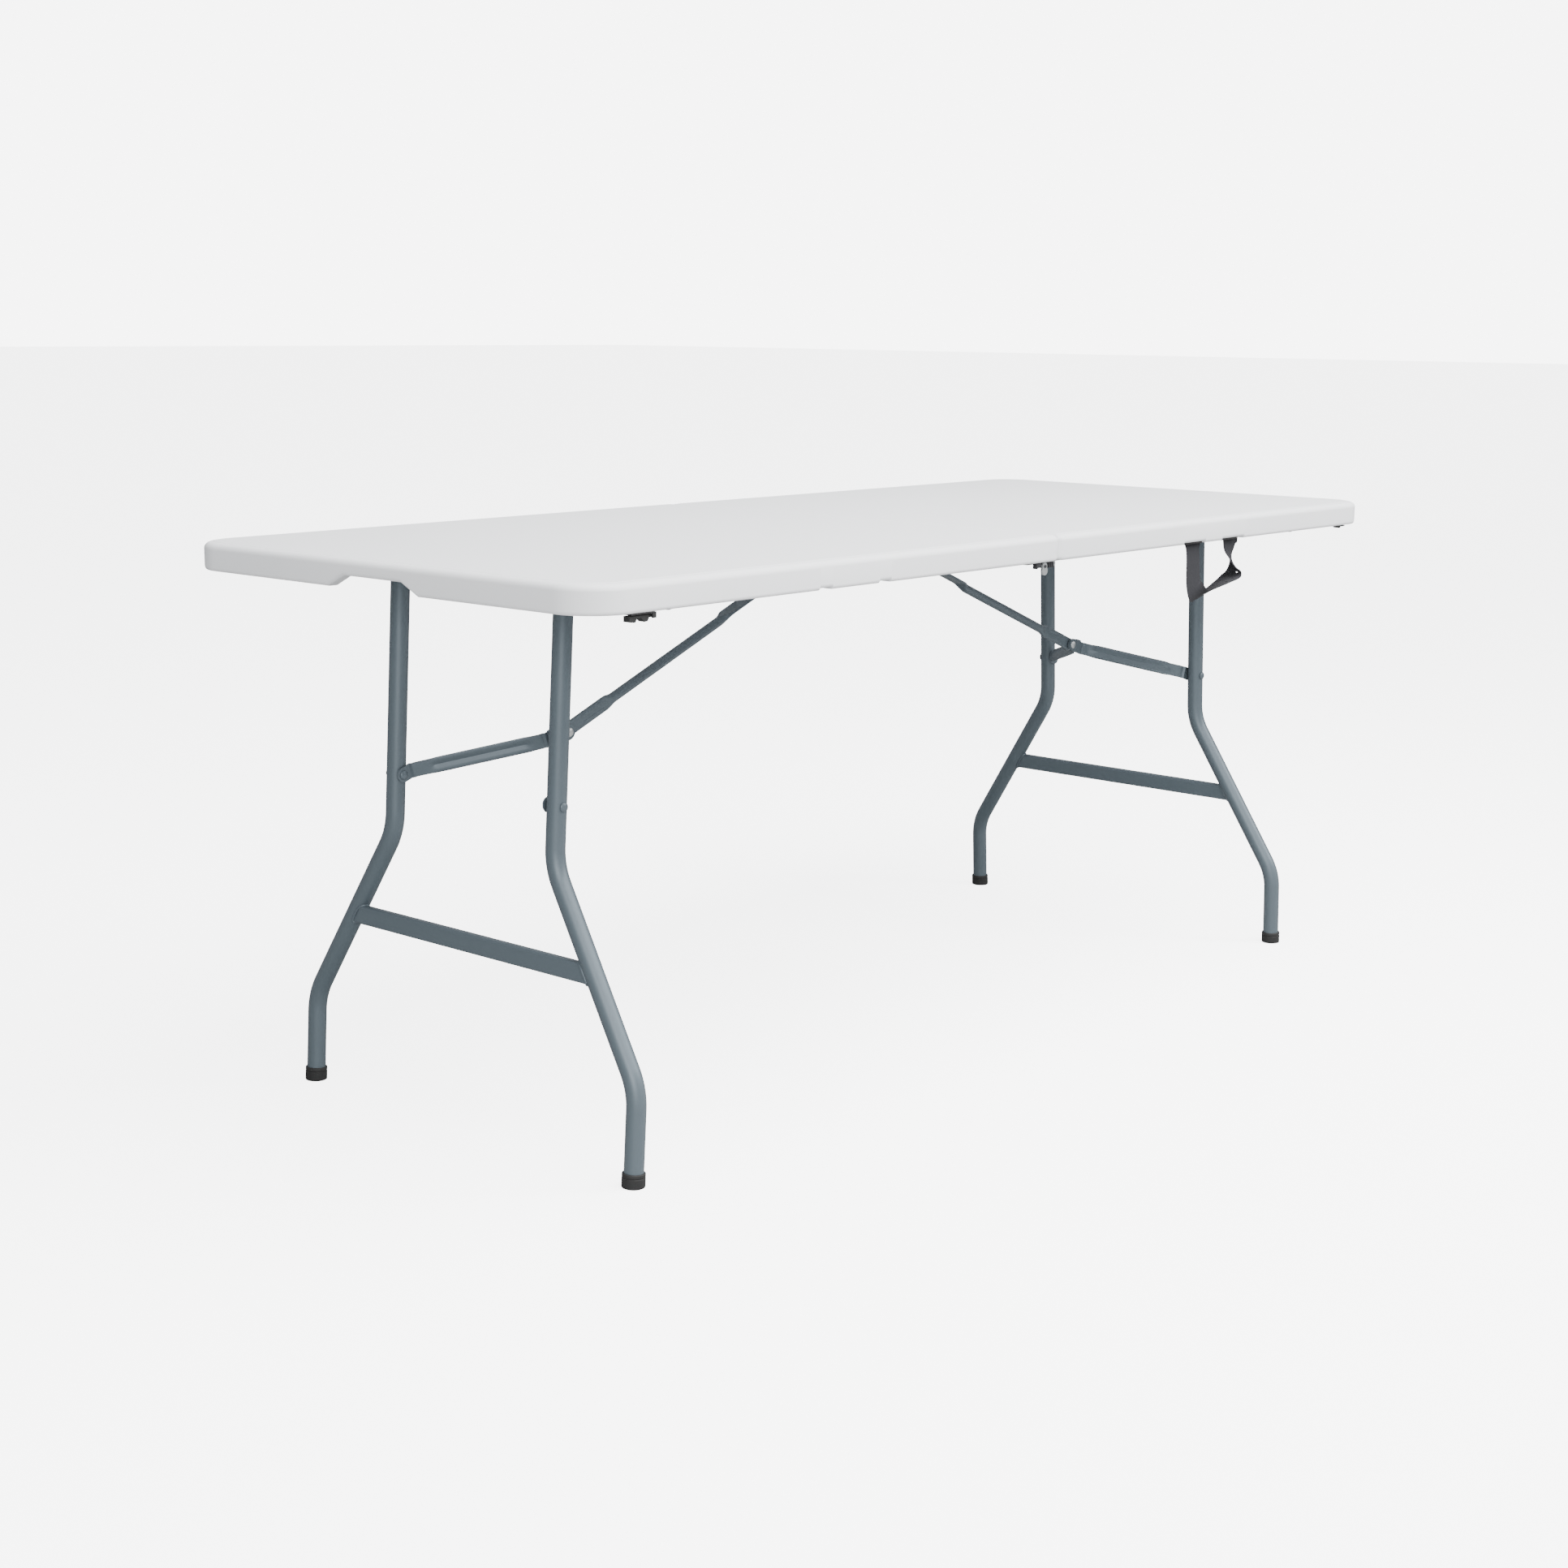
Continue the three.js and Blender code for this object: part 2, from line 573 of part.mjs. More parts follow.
/** Half of the knuckle's rivet: it clears the brace's eye, so that the linkage can be opened there. */
function knuckleRivet(sign) {
  const { shank, head, dome } = RIVET;
  const under = CLEVIS.inner + CLEVIS.sheet + GAP + ARM.sheet + GAP;
  const body = turnedY([
    [0, CLEVIS.inner], [shank, CLEVIS.inner], [shank, under], [head, under],
    [head, under + dome - 1.4], [head - 2.2, under + dome], [0, under + dome],
  ]);
  const facing = at(ARM_LENGTH, 0, 0).multiply(new THREE.Matrix4().makeRotationX(sign > 0 ? 0 : Math.PI));
  return solid(geometryOf(body), facing);
}

/** Points of a round outline and of a flat one, for the tapers between them. */
function roundOutline(x, radius) {
  const count = 16;
  return Array.from({ length: count }, (_, i) => {
    const angle = (2 * Math.PI * i) / count;
    return [x, radius * Math.cos(angle), radius * Math.sin(angle)];
  });
}

function flatOutline(x, width, height, zMiddle) {
  return chamferedRect(width, height, 1.5).map(([y, z]) => [x, y, z + zMiddle]);
}

/** The tube from the knuckle to the pin: pressed flat on edge at the knuckle, and flat on its face above. */
function braceTube(length) {
  const { half, thick, radius, flatEnd, taper } = BRACE;
  const { taperStart, taper: topTaper, half: topHalf, low, high, eye } = BRACE_TOP;
  const flat = 2 * half;
  const tubeStart = flatEnd + taper;
  const topStart = taperStart + topTaper;
  const middle = (low + high) / 2;
  const body = join(
    barY(half, 0, 0, -thick / 2, thick / 2, 20),
    loft(flatOutline(0, thick, flat, 0), flatOutline(flatEnd, thick, flat, 0)),
    loft(flatOutline(flatEnd, thick, flat, 0), roundOutline(tubeStart, radius)),
    loft(roundOutline(tubeStart, radius), roundOutline(taperStart, radius)),
    loft(roundOutline(taperStart, radius), flatOutline(topStart, 2 * topHalf, high - low, middle)),
    loft(
      flatOutline(topStart, 2 * topHalf, high - low, middle),
      flatOutline(length, 2 * topHalf, high - low, middle),
    ),
    barY(eye, length, 0, -topHalf, topHalf, 20),
  );
  return cut(
    body,
    barY(RIVET.bore, 0, 0, -half, half, 12),
    barY(PIN.bore, length, 0, -2 * topHalf, 2 * topHalf, 20),
  );
}

function kneeBrace(side, group) {
  const { armPivot, pin, knuckle, braceLength } = braceGeometry();
  const arms = linkGroup(armPivot, knuckle);
  const tube = linkGroup(knuckle, pin);
  group.add(arms, tube);
  for (const sign of [-1, 1]) {
    // the link groups are turned over along Y
    const place = `${side}_${row(side, -sign)}`;
    hang(arms, `brace_arm_${place}`, braceArm(sign), HAMMERED_STEEL);
    hang(arms, `knuckle_rivet_${place}`, knuckleRivet(sign), ZINC_STEEL);
  }
  hang(arms, `brace_clevis_${side}`, clevis(), HAMMERED_STEEL);
  hang(tube, `brace_tube_${side}`, braceTube(braceLength), HAMMERED_STEEL);
}

// ---------------------------------------------------------------- seam and front-rim pieces
function hingePins(group) {
  for (const sign of [-1, 1]) {
    const ys = [sign * (HINGE_Y.inner - 1), sign * (HINGE_Y.outer + 1)].sort((a, b) => a - b);
    const shank = barY(HINGE.pin, 0, HINGE.z, ...ys, 12);
    const headY = sign * (HINGE_Y.outer + 1.5);
    const head = barY(HINGE.barrel - 1, 0, HINGE.z, headY - 1, headY + 1, 12);
    hang(group, `hinge_pin_${sign < 0 ? "front" : "back"}`, join(shank, head), ZINC_STEEL);
  }
}

/** The seam latch: a dark bracket with a stud, and a pale tongue shaped like a keyhole that swings on it. */
function seamLatch(group) {
  const { x, z, y, eye, bob, sheet } = LATCH;
  const back = y + 5;
  const plate = block([x - 17.5, x + 24], [y, back], [z - 2, RIM_BOTTOM - GAP]);
  const ridges = [-17.5, 12.9, 17, 21].map((dx) => block([x + dx, x + dx + 2.3], [y - 1.5, back], [z - 3, z + 4]));
  const stud = barY(1.9, x, z, y - sheet - 1.4, y + 1, 12);
  hang(group, "latch_bracket", join(plate, stud, ...ridges), BLACK_STEEL);
  const face = [y - GAP - sheet + 0.4, y - GAP];
  const bobZ = z - LATCH.drop;
  const body = join(
    barY(eye, x, z, ...face, 20),
    barY(bob, x, bobZ, ...face, 20),
    block([x - 3.5, x + 3.5], face, [bobZ, z]),
  );
  hang(group, "latch_tongue", cut(body, barY(2.3, x, z, -BIG, BIG, 12)), ZINC_STEEL);
}

/** The closing clip: a base under the rim and a hook with two teeth that swings on the base's pin. */
function closingClip(group) {
  const { x, y, z, half } = CLIP;
  const top = RIM_BOTTOM - GAP;
  const base = join(
    block([x - half, x + half], [y - 8, y + 8], [top - 1.6, top]),
    block([x + half - 6, x + half], [y - 8, y - 5.5], [z - 3, top]),
    block([x + half - 6, x + half], [y + 5.5, y + 8], [z - 3, top]),
    barY(1.5, x + half - 3, z, y - 7, y + 7, 12),
  );
  hang(group, "clip_base", base, BLACK_PLASTIC);
  const hook = polygon([
    [x + half - 5.8, z - 2.2], [x + half - 1, z - 2.2], [x + half - 1, z + 1.3], [x + half - 5, z + 1.3],
    [x - half, z + 1.3], [x - half, z - 5.4], [x - half + 9, z - 6.4], [x - half + 12, z - 1.8],
    [x - 2, z - 1.8], [x + 4, z - 6.8], [x + 9, z - 6.2], [x + 11, z - 2.2],
  ].reverse());
  const body = cut(plateXZ(hook, y - 5, y + 5), barY(1.9, x + half - 3, z, -BIG, BIG, 12));
  hang(group, "closing_clip", body, BLACK_PLASTIC);
  const peg = join(
    block([-x - 12, -x + 12], [y - 8, y + 8], [top - 1.6, top]),
    block([-x - 3, -x + 3], [y - 5, y + 5], [top - 4, top - 1]),
  );
  hang(group, "closing_peg", peg, BLACK_PLASTIC);
}

/** The carry strap as it hangs: a webbing loop seen flat, between its two anchor plates. */
function carryStrap(group) {
  const { y, thick, top } = STRAP;
  const loop = polygon([
    [339, top], [341, 632], [352, 621], [384, 622], [440, 630], [492, 652], [494, 660], [481, 680],
    [483, top], [438, top], [470, 680], [486, 658], [478, 655], [436, 641], [384, 634], [376, 640],
    [376, top],
  ]);
  hang(group, "carry_strap", plateXZ(loop, y - thick / 2, y + thick / 2), BLACK_WEBBING);
  const plates = { inner: [334, 382], outer: [437, 486] };
  for (const [name, xs] of Object.entries(plates)) {
    const body = block(xs, [y - ANCHOR.half, y + ANCHOR.half], [ANCHOR.low, ANCHOR.high]);
    hang(group, `strap_anchor_${name}`, body, BLACK_PLASTIC);
  }
}

// ---------------------------------------------------------------- the table
const table = new THREE.Group();
for (const side of SIDES) {
  const end = endGroup(side);
  table.add(end);
  halfHardware(side, end);
  legFrame(side, end);
  kneeBrace(side, end);
}
hingePins(table);
seamLatch(table);
closingClip(table);
carryStrap(table);

export default table;
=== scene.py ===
"""The looks of a fold-in-half table: moulded halves, hammered steel leg frames and braces, small fittings."""

import json
import logging
import math
from collections.abc import Callable, Iterable, Sequence
from dataclasses import dataclass, field
from enum import Enum

import bmesh
import bpy
from bmesh.types import BMEdge, BMesh, BMVert
from bpy.types import Material, Node, NodeSocket, NodeTree, Object
from mathutils import Matrix, Vector


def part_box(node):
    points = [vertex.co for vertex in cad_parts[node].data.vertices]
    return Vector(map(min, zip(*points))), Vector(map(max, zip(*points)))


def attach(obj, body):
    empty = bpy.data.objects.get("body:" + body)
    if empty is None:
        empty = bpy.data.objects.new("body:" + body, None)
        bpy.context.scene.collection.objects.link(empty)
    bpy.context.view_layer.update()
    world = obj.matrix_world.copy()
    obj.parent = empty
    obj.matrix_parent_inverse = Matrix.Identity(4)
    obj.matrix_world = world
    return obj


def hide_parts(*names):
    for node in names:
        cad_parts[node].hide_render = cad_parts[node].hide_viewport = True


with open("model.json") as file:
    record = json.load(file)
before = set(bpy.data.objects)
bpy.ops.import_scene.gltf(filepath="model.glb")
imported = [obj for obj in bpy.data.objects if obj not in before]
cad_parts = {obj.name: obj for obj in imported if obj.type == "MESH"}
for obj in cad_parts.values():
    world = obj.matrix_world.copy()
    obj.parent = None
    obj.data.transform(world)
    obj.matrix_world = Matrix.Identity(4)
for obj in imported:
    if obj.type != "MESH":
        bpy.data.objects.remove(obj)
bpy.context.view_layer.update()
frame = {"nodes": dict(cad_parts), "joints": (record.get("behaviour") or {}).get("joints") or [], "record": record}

LOG = logging.getLogger("folding_table")
MM = 0.001
TINY = 1e-6
MERGE = 2e-5
UV_NAME = "laid_flat"


class Side(Enum):
    """The two ends of the table, each with the turn about +Z that takes the right one to it."""

    LEFT = "left"
    RIGHT = "right"

    @property
    def turn(self) -> Matrix:
        """The matrix from the right end's drawing to this end."""
        return Matrix.Rotation(math.pi if self is Side.LEFT else 0.0, 4, "Z")

    @property
    def sign(self) -> int:
        """The side of x = 0 that this end lies on."""
        return -1 if self is Side.LEFT else 1

    def row(self, drawn: int) -> str:
        """Whether a place drawn at +Y (1) or -Y (-1) ends at the front or at the back."""
        return "front" if drawn * self.sign < 0 else "back"


class Slot(Enum):
    """The record's material slots."""

    WHITE = "moulded_white"
    HAMMERED = "hammered_steel"
    ZINC = "zinc_steel"
    BLACK_STEEL = "black_steel"
    BLACK_PLASTIC = "black_plastic"
    WEBBING = "black_webbing"


# ---------------------------------------------------------------- node graphs
class Graph:
    """Adds nodes to one tree and links them."""

    def __init__(self, tree: NodeTree) -> None:
        """Works on a tree."""
        self.tree = tree

    @classmethod
    def empty(cls, tree: NodeTree) -> "Graph":
        """A graph on a tree that is emptied first."""
        tree.nodes.clear()
        return cls(tree)

    def add(self, kind: str, inputs: dict | None = None, **settings: object) -> Node:
        """Adds a node.

        Args:
            kind: the node's type.
            inputs: sockets or plain values by input name or index.
            settings: properties of the node.

        Returns:
            The node.
        """
        node = self.tree.nodes.new(kind)
        for name, value in settings.items():
            setattr(node, name, value)
        for name, value in (inputs or {}).items():
            self.feed(node, name, value)
        return node

    def feed(self, node: Node, name: str | int, value: object) -> None:
        """Links a socket to an input, or sets the input's value."""
        if isinstance(value, NodeSocket):
            self.tree.links.new(value, node.inputs[name])
        else:
            node.inputs[name].default_value = value

    def math(self, operation: str, *values: object, clamp: bool = False) -> NodeSocket:
        """A Math node's result."""
        node = self.add("ShaderNodeMath", dict(enumerate(values)), operation=operation, use_clamp=clamp)
        return node.outputs[0]

    def noise(self, vector: object, scale: object, detail: float = 3.0, rough: float = 0.5) -> NodeSocket:
        """A Noise texture's value."""
        inputs = {"Vector": vector, "Scale": scale, "Detail": detail, "Roughness": rough}
        return self.add("ShaderNodeTexNoise", inputs).outputs["Fac"]

    def remap(self, value: object, low: object, high: object, to_low: object = 0.0, to_high: object = 1.0,
              smooth: bool = True) -> NodeSocket:
        """A value taken from one range to another."""
        inputs = {"Value": value, "From Min": low, "From Max": high, "To Min": to_low, "To Max": to_high}
        kind = "SMOOTHSTEP" if smooth else "LINEAR"
        return self.add("ShaderNodeMapRange", inputs, interpolation_type=kind).outputs["Result"]

    def stretch(self, vector: object, scale: Sequence[float],
                turn: Sequence[float] = (0.0, 0.0, 0.0)) -> NodeSocket:
        """A pattern's coordinates, scaled and turned by a Mapping node."""
        inputs = {"Vector": vector, "Scale": tuple(scale), "Rotation": tuple(turn)}
        return self.add("ShaderNodeMapping", inputs).outputs["Vector"]

    def mix(self, share: object, first: object, second: object) -> NodeSocket:
        """Two colours mixed."""
        node = self.add("ShaderNodeMix", data_type="RGBA")
        for index, value in ((0, share), (6, first), (7, second)):
            self.feed(node, index, value)
        return node.outputs[2]


class Effect(Enum):
    """The shader node groups that the finishes share."""

    SPECKLE = "hammered_speckle"
    GRAIN = "moulded_grain"
    SCRATCHES = "fine_scratches"
    DUST = "settled_dust"
    WEAVE = "webbing_weave"
    BRUSHED = "brushed_lines"


@dataclass
class EffectShelf:
    """Builds each shared node group once and places it in a material's graph."""

    made: dict[Effect, NodeTree] = field(default_factory=dict)

    def place(self, graph: Graph, effect: Effect, **inputs: object) -> Node:
        """Places an effect in a material.

        Args:
            graph: the material's graph.
            effect: which effect.
            inputs: the group's inputs, with _ for each space in a name.

        Returns:
            The group's node.
        """
        if effect not in self.made:
            builders: dict[Effect, Callable[[], NodeTree]] = {
                Effect.SPECKLE: self.speckle,
                Effect.GRAIN: self.grain,
                Effect.SCRATCHES: self.scratches,
                Effect.DUST: self.dust,
                Effect.WEAVE: self.weave,
                Effect.BRUSHED: self.brushed,
            }
            self.made[effect] = builders[effect]()
        node = graph.add("ShaderNodeGroup", node_tree=self.made[effect])
        for name, value in inputs.items():
            graph.feed(node, name.replace("_", " "), value)
        return node

    @staticmethod
    def start(effect: Effect, inputs: dict[str, float | None], outputs: Sequence[str]) -> tuple[Graph, Node]:
        """Starts a group.

        Args:
            effect: the group's name.
            inputs: a default value by name, or None for a vector.
            outputs: the names of its values.

        Returns:
            The group's graph and its input node.
        """
        tree = bpy.data.node_groups.new(effect.value, "ShaderNodeTree")
        for name, default in inputs.items():
            kind = "NodeSocketVector" if default is None else "NodeSocketFloat"
            socket = tree.interface.new_socket(name, in_out="INPUT", socket_type=kind)
            if default is not None:
                socket.default_value = default
        for name in outputs:
            tree.interface.new_socket(name, in_out="OUTPUT", socket_type="NodeSocketFloat")
        graph = Graph.empty(tree)
        return graph, graph.add("NodeGroupInput")

    @staticmethod
    def end(graph: Graph, **outputs: NodeSocket) -> NodeTree:
        """Ends a group with its outputs."""
        graph.add("NodeGroupOutput", {name: socket for name, socket in outputs.items()})
        return graph.tree

    def speckle(self) -> NodeTree:
        """The dimples and pale flecks of a hammered coat."""
        inputs = {"Vector": None, "Density": 420.0, "Contrast": 1.0}
        graph, given = self.start(Effect.SPECKLE, inputs, ("Fleck", "Height"))
        vector, density = given.outputs["Vector"], given.outputs["Density"]
        cells = graph.add("ShaderNodeTexVoronoi", {"Vector": vector, "Scale": density, "Randomness": 1.0},
                          feature="SMOOTH_F1").outputs["Distance"]
        coarse = graph.noise(vector, graph.math("MULTIPLY", density, 0.62), 2.0, 0.6)
        fine = graph.noise(vector, graph.math("MULTIPLY", density, 1.9), 2.0, 0.6)
        clumps = graph.noise(vector, graph.math("MULTIPLY", density, 0.2), 2.0, 0.6)
        blend = graph.math("ADD", graph.math("MULTIPLY", coarse, 0.6), graph.math("MULTIPLY", fine, 0.22))
        blend = graph.math("ADD", blend, graph.math("MULTIPLY", clumps, 0.18))
        fleck = graph.remap(blend, 0.48, 0.58)
        contrast = graph.math("MULTIPLY", graph.math("SUBTRACT", fleck, 0.5), given.outputs["Contrast"])
        height = graph.math("ADD", graph.math("MULTIPLY", cells, 0.6), graph.math("MULTIPLY", blend, 0.8))
        return self.end(graph, Fleck=graph.math("ADD", contrast, 0.5, clamp=True), Height=height)

    def grain(self) -> NodeTree:
        """The fine matte grain of moulded plastic, and slow clouds in it."""
        graph, given = self.start(Effect.GRAIN, {"Vector": None, "Density": 900.0}, ("Height", "Cloud"))
        vector, density = given.outputs["Vector"], given.outputs["Density"]
        fine = graph.noise(vector, density, 4.0, 0.65)
        slow = graph.noise(vector, graph.math("MULTIPLY", density, 0.012), 3.0, 0.6)
        return self.end(graph, Height=fine, Cloud=graph.remap(slow, 0.3, 0.7))

    def scratches(self) -> NodeTree:
        """Sparse hairlines in two directions."""
        inputs = {"Vector": None, "Density": 60.0, "Amount": 0.5}
        graph, given = self.start(Effect.SCRATCHES, inputs, ("Mask",))
        vector, density = given.outputs["Vector"], given.outputs["Density"]
        lines = []
        for scale, turn in (((0.06, 1.0, 1.0), (0.0, 0.0, 0.35)), ((1.0, 0.05, 1.0), (0.0, 0.0, -0.2))):
            streak = graph.noise(graph.stretch(vector, scale, turn), density, 2.0, 0.7)
            lines.append(graph.remap(streak, 0.64, 0.68))
        both = graph.math("MAXIMUM", *lines)
        return self.end(graph, Mask=graph.math("MULTIPLY", both, given.outputs["Amount"], clamp=True))

    def dust(self) -> NodeTree:
        """A thin cloudy film on faces that look up."""
        graph, given = self.start(Effect.DUST, {"Vector": None, "Density": 30.0, "Amount": 0.3}, ("Mask",))
        normal = graph.add("ShaderNodeNewGeometry").outputs["Normal"]
        upward = graph.add("ShaderNodeSeparateXYZ", {"Vector": normal}).outputs["Z"]
        patches = graph.noise(given.outputs["Vector"], given.outputs["Density"], 4.0, 0.6)
        cloud = graph.remap(patches, 0.35, 0.75)
        film = graph.math("MULTIPLY", graph.remap(upward, 0.2, 0.95), cloud)
        return self.end(graph, Mask=graph.math("MULTIPLY", film, given.outputs["Amount"], clamp=True))

    def weave(self) -> NodeTree:
        """Crossing threads from a piece's own coordinates, which run across and along it in metres; the crown mask
        is used to paint a highlight on the thread crowns and shade between them.
        """
        inputs = {"Vector": None, "Across": 900.0, "Along": 700.0}
        graph, given = self.start(Effect.WEAVE, inputs, ("Thread", "Height"))
        parts = graph.add("ShaderNodeSeparateXYZ", {"Vector": given.outputs["Vector"]})
        across = graph.math("MULTIPLY", parts.outputs["X"], given.outputs["Across"])
        along = graph.math("MULTIPLY", parts.outputs["Y"], given.outputs["Along"])
        shift = graph.math("MULTIPLY", graph.math("FLOOR", across), 0.5)
        stitch = graph.math("PINGPONG", graph.math("ADD", along, shift), 0.5)
        ridge = graph.math("PINGPONG", across, 0.5)
        crown, rib = graph.math("MULTIPLY", stitch, 2.0), graph.math("MULTIPLY", ridge, 2.0)
        thread = graph.math("MULTIPLY", crown, rib)
        return self.end(graph, Thread=graph.remap(thread, 0.05, 0.75), Height=thread)

    def brushed(self) -> NodeTree:
        """Fine drawn lines along X."""
        graph, given = self.start(Effect.BRUSHED, {"Vector": None, "Density": 900.0}, ("Line",))
        drawn = graph.stretch(given.outputs["Vector"], (0.05, 1.0, 1.0))
        return self.end(graph, Line=graph.noise(drawn, given.outputs["Density"], 3.0, 0.6))


# ---------------------------------------------------------------- finishes
Colour = tuple[float, float, float]
SHELF = EffectShelf()


def rgba(colour: Colour) -> tuple[float, float, float, float]:
    """A colour with full alpha."""
    return (*colour, 1.0)


@dataclass(frozen=True)
class Finish:
    """A painted or moulded surface: its slot in the record and its plain values."""

    slot: Slot
    metallic: float = 0.0
    coat: float = 0.0
    coat_roughness: float = 0.1
    specular: float = 0.5
    ior: float = 1.5

    def material(self) -> Material:
        """The material, made the first time that it is asked for."""
        found = bpy.data.materials.get(self.slot.value)
        if found is None:
            found = bpy.data.materials.new(self.slot.value)
            found.use_nodes = True
            graph = Graph.empty(found.node_tree)
            values = {"Metallic": self.metallic,
                      "Coat Weight": self.coat, "Coat Roughness": self.coat_roughness,
                      "Specular IOR Level": self.specular, "IOR": self.ior}
            shader = graph.add("ShaderNodeBsdfPrincipled", values)
            graph.add("ShaderNodeOutputMaterial", {"Surface": shader.outputs["BSDF"]})
            self.paint(graph, shader)
        return found

    def paint(self, graph: Graph, shader: Node) -> None:
        """Fills in what changes over the surface."""
        raise NotImplementedError

    @staticmethod
    def place(graph: Graph) -> NodeSocket:
        """The piece's own coordinates, in metres."""
        return graph.add("ShaderNodeTexCoord").outputs["Object"]

    @staticmethod
    def relief(graph: Graph, shader: Node, height: object, depth: float, strength: float) -> None:
        """Feeds a height to the shader's normal, through a Bump node."""
        bump = graph.add("ShaderNodeBump", {"Height": height, "Distance": depth, "Strength": strength})
        graph.feed(shader, "Normal", bump.outputs["Normal"])


@dataclass(frozen=True)
class MouldedFinish(Finish):
    """Off-white blow-moulded polyethylene: matte grain, faint clouds, a few scuffs."""

    body: Colour = (0.86, 0.872, 0.885)
    cloud: Colour = (0.80, 0.825, 0.85)
    scuff: Colour = (0.55, 0.57, 0.59)

    def paint(self, graph: Graph, shader: Node) -> None:
        """Fills in what changes over the surface."""
        where = self.place(graph)
        grain = SHELF.place(graph, Effect.GRAIN, Vector=where, Density=850.0)
        marks = SHELF.place(graph, Effect.SCRATCHES, Vector=where, Density=70.0, Amount=0.10)
        flow = graph.noise(graph.stretch(where, (0.35, 3.0, 3.0)), 9.0, 4.0, 0.6)
        clouds = graph.math("MULTIPLY", grain.outputs["Cloud"], 0.5)
        tone = graph.mix(clouds, rgba(self.body), rgba(self.cloud))
        streaked = graph.mix(graph.remap(flow, 0.35, 0.75, 0.0, 0.35), tone, rgba(self.cloud))
        specks = graph.remap(graph.noise(where, 55.0, 2.0, 0.4), 0.735, 0.77, 0.0, 0.5)
        dotted = graph.mix(specks, streaked, rgba(self.scuff))
        graph.feed(shader, "Base Color", graph.mix(marks.outputs["Mask"], dotted, rgba(self.scuff)))
        graph.feed(shader, "Roughness", graph.remap(grain.outputs["Height"], 0.3, 0.7, 0.42, 0.56))
        self.relief(graph, shader, grain.outputs["Height"], 0.00022, 0.35)


@dataclass(frozen=True)
class HammeredFinish(Finish):
    """A blue-grey hammered powder coat with pale flecks."""

    dark: Colour = (0.0020, 0.0042, 0.0058)
    pale: Colour = (0.060, 0.080, 0.094)
    dust: Colour = (0.12, 0.13, 0.14)

    def paint(self, graph: Graph, shader: Node) -> None:
        """Fills in what changes over the surface."""
        where = self.place(graph)
        flecks = SHELF.place(graph, Effect.SPECKLE, Vector=where, Density=640.0, Contrast=1.15)
        film = SHELF.place(graph, Effect.DUST, Vector=where, Density=40.0, Amount=0.05)
        marks = SHELF.place(graph, Effect.SCRATCHES, Vector=where, Density=160.0, Amount=0.15)
        broad = graph.remap(graph.noise(where, 14.0, 3.0, 0.5), 0.3, 0.7, -0.12, 0.06)
        share = graph.math("ADD", flecks.outputs["Fleck"], broad, clamp=True)
        coat = graph.mix(share, rgba(self.dark), rgba(self.pale))
        worn = graph.mix(marks.outputs["Mask"], coat, rgba(self.pale))
        graph.feed(shader, "Base Color", graph.mix(film.outputs["Mask"], worn, rgba(self.dust)))
        graph.feed(shader, "Roughness", graph.remap(flecks.outputs["Fleck"], 0.0, 1.0, 0.42, 0.24))
        self.relief(graph, shader, flecks.outputs["Height"], 0.0004, 0.6)


@dataclass(frozen=True)
class ZincFinish(Finish):
    """Zinc-plated steel with drawn lines and cloudy spots."""

    bright: Colour = (0.62, 0.64, 0.64)
    dull: Colour = (0.36, 0.38, 0.39)

    def paint(self, graph: Graph, shader: Node) -> None:
        """Fills in what changes over the surface."""
        where = self.place(graph)
        lines = SHELF.place(graph, Effect.BRUSHED, Vector=where, Density=1400.0)
        cloud = graph.remap(graph.noise(where, 260.0, 4.0, 0.6), 0.35, 0.7)
        graph.feed(shader, "Base Color", graph.mix(cloud, rgba(self.bright), rgba(self.dull)))
        graph.feed(shader, "Roughness", graph.remap(lines.outputs["Line"], 0.3, 0.7, 0.24, 0.42))
        self.relief(graph, shader, lines.outputs["Line"], 0.00006, 0.3)


@dataclass(frozen=True)
class DarkFinish(Finish):
    """Dark paint or moulded plastic: a fine grain, pale scratches and a film of dust."""

    body: Colour = (0.0022, 0.0025, 0.003)
    worn: Colour = (0.02, 0.022, 0.024)
    density: float = 1100.0
    gloss: tuple[float, float] = (0.36, 0.52)
    scratch: float = 0.3

    def paint(self, graph: Graph, shader: Node) -> None:
        """Fills in what changes over the surface."""
        where = self.place(graph)
        grain = SHELF.place(graph, Effect.GRAIN, Vector=where, Density=self.density)
        marks = SHELF.place(graph, Effect.SCRATCHES, Vector=where, Density=220.0, Amount=self.scratch)
        film = SHELF.place(graph, Effect.DUST, Vector=where, Density=60.0, Amount=0.2)
        clouds = graph.math("MULTIPLY", grain.outputs["Cloud"], 0.25)
        tone = graph.mix(clouds, rgba(self.body), rgba(self.worn))
        marked = graph.mix(marks.outputs["Mask"], tone, rgba(self.worn))
        graph.feed(shader, "Base Color", graph.mix(film.outputs["Mask"], marked, rgba(self.worn)))
        graph.feed(shader, "Roughness", graph.remap(grain.outputs["Height"], 0.3, 0.7, *self.gloss))
        self.relief(graph, shader, grain.outputs["Height"], 0.00018, 0.4)


